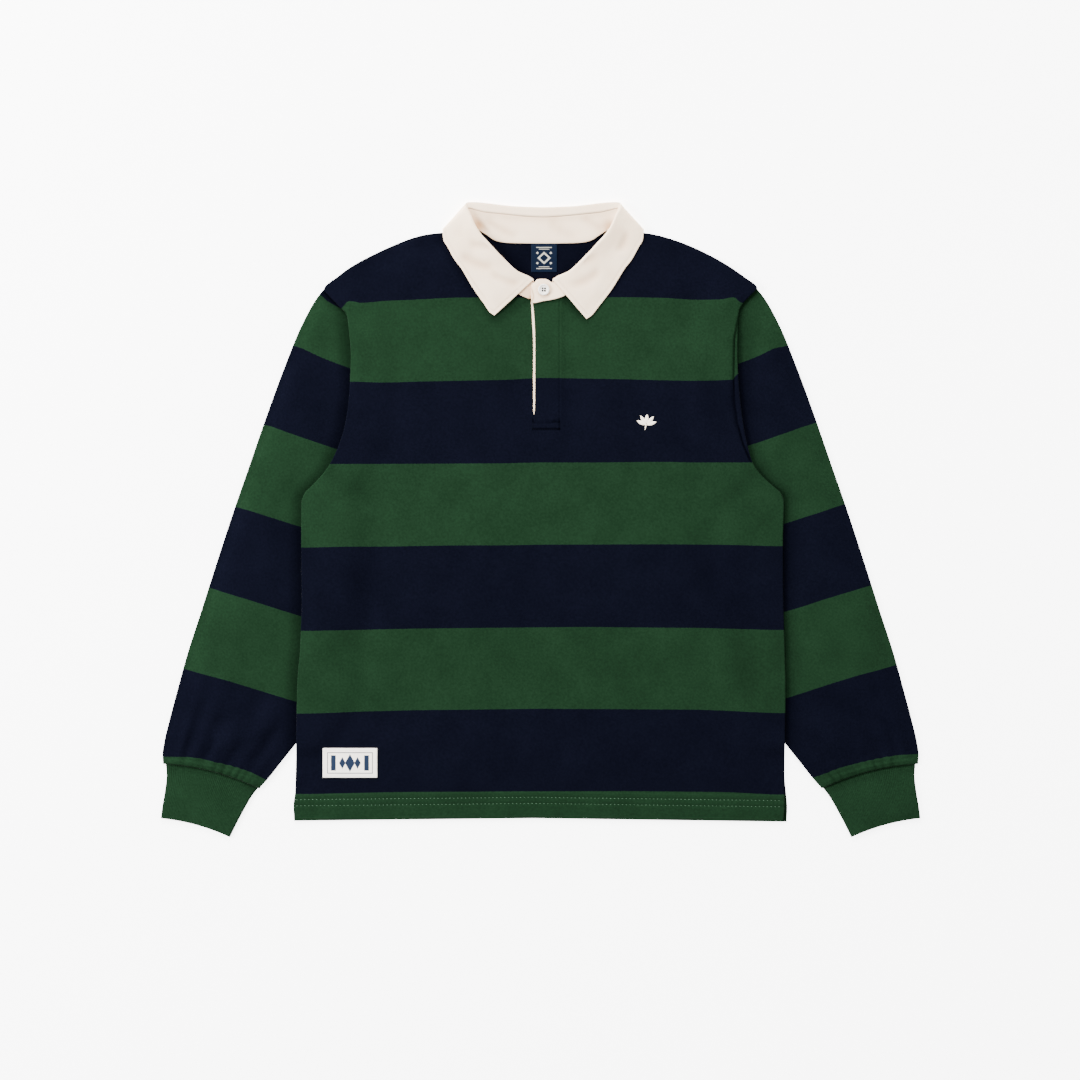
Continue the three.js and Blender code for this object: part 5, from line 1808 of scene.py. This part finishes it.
    def fall_controls(self) -> Array:
        """Gives the fall's control points: up from the stand, over the roll, and out to its free edge."""
        ring = self.ring()
        flat = np.array([1.0, 1.0, 0.0])

        def unit(vector: Array) -> Array:
            """Makes level unit vectors."""
            level = vector * flat
            return level / np.linalg.norm(level, axis=1, keepdims=True)

        up = np.array([0.0, 0.0, 1.0])
        roll, edge = ring["roll"], ring["edge"]
        before = roll + 1.1 * unit(ring["top"] - roll) - ring["turn"][:, None] * up
        after = roll + 1.5 * unit(edge - roll) + ring["turn"][:, None] * up
        shares = (np.arange(6) + 1) / 6
        rest = lerp(after[:, None], edge[:, None], shares[None, :, None])
        heights = [Curve.of((0, 0.42, 1), np.array([a, lay, e]))(shares)
                   for a, lay, e in zip(after[:, 2], ring["lay"], edge[:, 2])]
        rest[..., 2] = np.array(heights)
        return np.concatenate([np.stack([ring["top"], before, roll, after], 1), rest], 1)

    def fall(self) -> None:
        """Builds the fall with its soft folds, topstitched edges and two points."""
        controls = self.fall_controls()
        last = len(controls) - 1
        close = np.array([0, 0.02, 0.06, 0.12, 0.2, 0.3, 0.42, 0.55, 0.7, 0.85])
        along = np.concatenate([close, np.linspace(1, last - 1, self.steps_along), last - close[::-1]])
        across = np.concatenate([np.linspace(0, 3, 13)[:-1], np.linspace(3, 8.6, self.fall_steps - 14),
                                 8.6 + 0.4 * np.array([0.3, 0.55, 0.75, 0.88, 0.95, 1.0])])
        surface = Surface(self.spread(controls, along, across))
        points = surface.points
        from_edge = np.linalg.norm(points - points[:, -1:], axis=-1)
        from_ends = np.minimum(np.linalg.norm(points - points[:1], axis=-1),
                               np.linalg.norm(points - points[-1:], axis=-1))
        out = across[None] > 3.3
        nearest = np.where(out, np.minimum(from_edge, from_ends), from_ends)
        edges = 0.25 + 0.75 * np.sqrt(np.clip(1 - (1 - np.clip(nearest / 0.9, 0, 1)) ** 2, 0, 1))
        x, y = points[..., 0], points[..., 1]
        shown = out & (points[..., 2] > self.shown_above)
        sewn = nearest - self.stitch_inset
        folds = 1.7 * raised_by(FALL_CREASES, x, y) + 0.3 * soft_noise(x, y, 13, SEED + 9)
        relief = groove(sewn, 0.3, 0.8) * shown + folds * smooth(nearest, 1, 9) * shown
        # Painted shade along the topstitch line and in the troughs of the folds
        painted_shade = 0.4 * -groove(sewn, 1.0, 0.7) * shown
        painted_shade = painted_shade - 0.3 * np.minimum(folds, 0) * smooth(nearest, 1, 9) * shown
        piece = self.wall("collar_fall_twill", surface, edges, relief, painted_shade)
        place_piece(piece, "twill", "collar_leaf")
        stitches = self.fall_stitches(Surface(surface.moved(TWILL / 2 + relief)), len(along), len(across))

    def fall_stitches(self, surface: Surface, rows_along: int, rows_across: int) -> list[Object]:
        """Sews the fall's topstitch: in from its free edge, and down both front ends.

        Args:
            surface: its outer side.
            rows_along: number of places along.
            rows_across: number of places across.

        Returns:
            The pieces.
        """
        length = np.linalg.norm(surface.points - surface.points[:, -1:], axis=-1)
        wanted = self.stitch_inset
        column = np.array([np.interp(-wanted, -row[8:], np.arange(8, len(row))) for row in length])
        shown = surface.points[:, -1, 2] > self.shown_above
        runs = []
        numbers = np.arange(rows_along)
        for half in (numbers < rows_along // 2, numbers > rows_along // 2):
            rows = numbers[half & shown]
            path = surface.read(surface.points, rows, column[rows])
            ends = np.linalg.norm(path - surface.points[0 if rows[0] < 100 else -1, -1], axis=1)
            keep = ends > 6.0
            rows, path = rows[keep], path[keep]
            runs.append((path, surface.read(surface.normals, rows, column[rows])))
        for end, step in ((0, 1), (rows_along - 1, -1)):
            columns = np.arange(14, rows_across - 1)
            distance = np.linalg.norm(surface.points - surface.points[end], axis=-1)
            ordered = np.arange(60) * step + end
            row = np.array([np.interp(wanted, distance[ordered, c], ordered) for c in columns])
            path = surface.read(surface.points, row, columns)
            gone = length[np.clip(row.astype(int), 0, rows_along - 1), columns] > wanted
            runs.append((path[gone], surface.read(surface.normals, row, columns)[gone]))
        piece = stitch_piece("fall_stitches", runs, Stitch(2.1, 2.8, 0.36, 0.26), self.finishes.cream_thread)
        return [place_piece(piece, "twill")]

    def build(self) -> None:
        """Builds the stand and the fall."""
        self.stand()
        self.fall()


# The sprig's leaves and stem: start, end and width
SPRIG = (
    ((0, -3), (-11, 2), 2.3), ((0, -2), (-7, 8), 2), ((0.5, -1), (1, 9.5), 2.1), ((1, -2), (9, 7), 2),
    ((1, -3), (12, 0.5), 2.2), ((-1.5, -9.5), (0.5, -1), 0.6),
)
# The button's section: reach and height
BUTTON_PROFILE = (
    (0.02, -1.3), (5.4, -1.3), (6.4, -1), (6.95, -0.3), (7, 0.2), (6.8, 0.85), (6.3, 1.2), (5.6, 1.27),
    (5, 1.1), (4.6, 0.75), (4.2, 0.5), (0.02, 0.4),
)


def turned(profile: Array, steps: int) -> tuple[Array, Array]:
    """Turns a profile round the upright axis and closes both ends.

    Args:
        profile: reach and height of each point.
        steps: places round the axis.

    Returns:
        Points and triangles, all facing outwards.
    """
    turn = 2 * np.pi * np.arange(steps) / steps
    reach, height = profile[:, 0, None], np.repeat(profile[:, 1, None], steps, 1)
    ring = np.stack([reach * np.cos(turn), reach * np.sin(turn), height], -1).reshape(-1, 3)
    faces = grid_faces(len(profile), steps, True)
    points = np.concatenate([ring, [[0, 0, profile[0, 1]], [0, 0, profile[-1, 1]]]])
    first, last = np.arange(steps), np.arange(len(ring) - steps, len(ring))
    caps = [np.stack([np.full(steps, len(ring)), first, np.roll(first, -1)], 1),
            np.stack([np.full(steps, len(ring) + 1), np.roll(last, -1), last], 1)]
    triangles = np.concatenate([faces[:, [0, 1, 2]], faces[:, [0, 2, 3]], *caps])
    a, b, c = (points[triangles[:, i]] for i in range(3))
    return points, triangles if (a * np.cross(b, c)).sum() > 0 else triangles[:, ::-1]


@dataclass
class Trim:
    """The small pieces: placket facing, neck label, patch, chest sprig and button."""

    finishes: Finishes
    label: float = 0.6
    patch: float = 0.8
    patch_ease: float = 0.15
    neck_box: Box = (-11.3, 297.2, 19.7, 331.0)
    patch_box: Box = (-261, -308.8, -195.8, -273.4)
    patch_seam: float = 1.6
    close: tuple[float, ...] = (0.15, 0.4, 0.9)
    sprig_place: tuple[float, float] = (126.5, 117.0)
    holes: int = 4
    hole_reach: float = 2.0
    hole_radius: float = 1.25
    thread_reach: float = 1.41
    thread_half: float = 1.1

    def panel(
        self, name: str, box: Box, base: Height, thickness: float, material: Material, cells: tuple[int, int],
    ) -> Object:
        """Makes a small flat piece from the points of what it lies on, moved up.

        Args:
            name: its name.
            box: left, bottom, right and top.
            base: height of what it lies on.
            thickness: its thickness.
            material: its finish.
            cells: columns and rows.

        Returns:
            The object.
        """
        left, bottom, right, top = box
        u = near_edges(right - left, (right - left) / cells[0], self.close)
        v = near_edges(top - bottom, (top - bottom) / cells[1], self.close)
        x, y = np.meshgrid(lerp(left, right, u), lerp(top, bottom, v))
        low = base(x, y) + GAP
        inset = np.minimum(np.minimum(x - left, right - x), np.minimum(top - y, y - bottom))
        high = low + thickness - 0.7 * rounded(inset, thickness)
        points, quads = grid_wall(np.stack([x, y, high], -1), np.stack([x, y, low], -1))
        grid_u, grid_v = np.meshgrid(u, 1 - v)
        uv = np.stack([grid_u.ravel(), grid_v.ravel()], -1)
        return add_piece(name, points, quads, material, np.tile(uv, (2, 1)))

    def facing(self) -> None:
        """Builds the cream tape that fills the slit's left side and lies under its right edge."""
        heights = np.linspace(265.0, 126.5, 80)
        left = (SLIT_LEFT(heights) + 1.3 * GAP)[:, None]
        x = lerp(left, 22.1, near_edges(32.0, 1.6, self.close)[None])
        y = np.broadcast_to(heights[:, None], x.shape)
        low = BODY.front_base(x, y)
        high = low + TAPE - 0.6 * rounded(x - left, 0.9)
        points, quads = grid_wall(np.stack([x, y, high], -1), np.stack([x, y, low], -1))
        piece = add_piece("placket_tape", points, quads, self.finishes.twill, points[:, :2] / STRIPE)
        place_piece(piece, "twill", "placket_facing")

    def on_cloth(self, x: Array, y: Array) -> Array:
        """Gives the front's upper side with the patch's ease."""
        return BODY.front_top(x, y) + self.patch_ease

    def labels(self) -> None:
        """Builds the satin neck label and the woven patch above the hem, with its seam."""
        finishes = self.finishes
        neck = self.panel("neck_satin", self.neck_box, BODY.back_top, self.label, finishes.satin, (14, 16))
        place_piece(neck, "satin", "neck_label")
        patch = self.panel("patch_woven", self.patch_box, self.on_cloth, self.patch, finishes.patch, (26, 14))
        place_piece(patch, "woven_patch", "patch_label")
        inset = self.patch_seam * np.array([1, 1, -1, -1])
        left, low, right, high = np.array(self.patch_box) + inset
        path, normal = on_front([(left, low), (left, high), (right, high), (right, low), (left, low)], 1.0)
        path[:, 2] += GAP + self.patch_ease + self.patch
        seam = Stitch(1.8, 2.4, 0.34, 0.3)
        sewn = stitch_piece("patch_stitches", [(path, normal)], seam, finishes.cream_thread)
        place_piece(sewn, "woven_patch")

    def sprig(self) -> None:
        """Embroiders a small white sprig: lens-shaped leaves of satin stitch on a thin stem."""
        u, w = np.linspace(0, 1, 25), np.linspace(-1, 1, 13)
        swell = np.sin(np.pi * u)
        parts = []
        for start, end, width in SPRIG:
            a, b = np.array(self.sprig_place) + start, np.array(self.sprig_place) + end
            along = (b - a) / np.linalg.norm(b - a)
            side = np.array([-along[1], along[0]])
            half = width * (0.06 + 0.94 * swell ** 0.8)
            plan = lerp(a, b, u[:, None])[:, None] + (half[:, None] * w[None])[..., None] * side
            x, y = plan[..., 0], plan[..., 1]
            dome = 0.75 * np.sqrt(1 - 0.96 * w[None] ** 2) * (0.35 + 0.65 * swell[:, None])
            floor = BODY.front_top(x, y) + 0.02
            parts.append(grid_wall(np.stack([x, y, floor + dome], -1), np.stack([x, y, floor], -1)))
        points, faces = joined(parts)
        place_piece(add_piece("chest_sprig", points, faces, self.finishes.cream_thread), "twill")

    def button(self) -> None:
        """Builds the four-hole button as a turned disc with its holes cut, and the thread in them."""
        low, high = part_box("button")
        centre = (np.array(low) + np.array(high)) / 2 / MM
        profile = Curve.of(range(len(BUTTON_PROFILE)), np.array(BUTTON_PROFILE))
        fine = profile(np.linspace(0, len(BUTTON_PROFILE) - 1, 56))
        points, triangles = turned(fine, 72)
        piece = add_piece("button_disc", points + centre, triangles, self.finishes.button)
        self.cut_holes(piece, centre)
        place_piece(piece, "button", "button")
        place_piece(self.button_thread(centre), "button")

    def cut_holes(self, piece: Object, centre: Array) -> None:
        """Cuts the holes with a Boolean that is applied at once.

        Args:
            piece: the button.
            centre: its middle in millimetres.
        """
        wall = np.array([(self.hole_radius, -3.0), (self.hole_radius, 3.0)])
        points, faces = turned(wall, 24)
        angles = (np.arange(self.holes) + 0.5) * 2 * np.pi / self.holes
        hubs = [self.hole_reach * np.array([math.cos(a), math.sin(a), 0.0]) for a in angles]
        cutter = add_piece("hole_cutter", *joined([(points + centre + hub, faces) for hub in hubs]),
                           self.finishes.button)
        modifier = piece.modifiers.new("holes", "BOOLEAN")
        modifier.operation = "DIFFERENCE"
        modifier.solver = "EXACT"
        modifier.object = cutter
        graph = bpy.context.evaluated_depsgraph_get()
        cut = bpy.data.meshes.new_from_object(piece.evaluated_get(graph))
        piece.modifiers.clear()
        piece.data = cut
        bpy.data.objects.remove(cutter)
        cut.set_sharp_from_angle(angle=math.radians(38))

    def button_thread(self, centre: Array) -> Object:
        """Sews the button on: a tuft of dark thread deep in each of its holes, whose darkness also stands in
        for the holes' shade.
        """
        up = np.array([[0.0, 0.0, 1.0]] * 2)
        reach, half = self.thread_reach, self.thread_half
        runs = []
        for x in (-reach, reach):
            for y in (-reach, reach):
                runs.append((np.array([[x, y - half, 0.0], [x, y + half, 0.0]]) + centre - [0, 0, 0.9], up))
        return stitch_piece("button_thread", runs, Stitch(2.3, 9.0, 2.3, 0.9), self.finishes.navy_thread)

    def build(self) -> None:
        """Builds all the trim."""
        self.facing()
        self.labels()
        self.sprig()
        self.button()


@dataclass
class Studio:
    """A pale floor, soft daylight from three lamps and the sky, and a camera straight above."""

    camera_height: float = 4.0
    frame_width: float = 1.296
    centre: tuple[float, float] = (-0.0007, -0.024)
    sensor: float = 36.0
    floor_colour: str = "#ffffff"
    floor_glow: float = 5.0
    sky: float = 1.05

    def floor(self) -> None:
        """Lays the floor just under the shirt."""
        size = 12.0
        points = np.array([(-size, -size, 0), (size, -size, 0), (size, size, 0), (-size, size, 0)]) / MM
        points[:, 2] = -0.2
        graph = Graph("lit white table")
        grain = graph.add("TexNoise", {"Scale": 300.0}).outputs[0]
        material = graph.finish(graph.mix(grain, self.floor_colour, "#fdfdfd"), grain, 0.01, {
            "Roughness": 0.95, "Specular IOR Level": 0.1, "Emission Color": linear(self.floor_colour),
            "Emission Strength": self.floor_glow,
        })
        add_piece("floor", points, np.array([[0, 1, 2, 3]]), material)

    def lamp(self, name: str, place: tuple[float, float, float], size: float, power: float) -> None:
        """Hangs a square lamp that points at the shirt.

        Args:
            name: its name.
            place: where it hangs, in metres.
            size: its width.
            power: its power in watts.
        """
        light = bpy.data.lights.new(name, "AREA")
        light.size = size
        light.energy = power
        lamp = bpy.data.objects.new(name, light)
        lamp.location = place
        aim = -np.array(place)
        level = math.hypot(aim[0], aim[1])
        lamp.rotation_euler = (math.atan2(level, -aim[2]), 0.0, math.atan2(aim[1], aim[0]) - math.pi / 2)
        bpy.context.scene.collection.objects.link(lamp)

    def build(self) -> None:
        """Sets up the floor, light and camera."""
        self.floor()
        world = bpy.data.worlds.new("studio sky")
        world.use_nodes = True
        background = world.node_tree.nodes["Background"]
        background.inputs[0].default_value = linear("#ffffff")
        background.inputs[1].default_value = self.sky
        bpy.context.scene.world = world
        self.lamp("left lamp", (-2.6, 0.5, 1.5), 1.1, 250.0)
        self.lamp("right lamp", (2.6, 0.3, 1.6), 1.3, 70.0)
        self.lamp("upper lamp", (-0.6, 2.6, 1.7), 1.2, 220.0)
        camera = bpy.data.cameras.new("camera")
        camera.sensor_width = self.sensor
        camera.lens = self.sensor * self.camera_height / self.frame_width
        view = bpy.data.objects.new("camera", camera)
        view.location = (*self.centre, self.camera_height)
        bpy.context.scene.collection.objects.link(view)
        bpy.context.scene.camera = view


def main() -> None:
    """Builds the shirt piece by piece, then the studio round it."""
    logging.basicConfig(level=logging.INFO, format="%(message)s")
    finishes = Finishes.build()
    body = Body(finishes, StripeField.of_body())
    body.back()
    body.front()
    Sleeve(finishes, StripeField.of_sleeve(LEFT_SLEEVE_STRIPES, -0.3), -1, 0.4, LEFT_SLEEVE_CREASES).build()
    Sleeve(finishes, StripeField.of_sleeve(RIGHT_SLEEVE_STRIPES, 0.3), 1, 2.1, RIGHT_SLEEVE_CREASES).build()
    Collar(finishes).build()
    Trim(finishes).build()
    Studio().build()


if __name__ == "__main__":
    main()
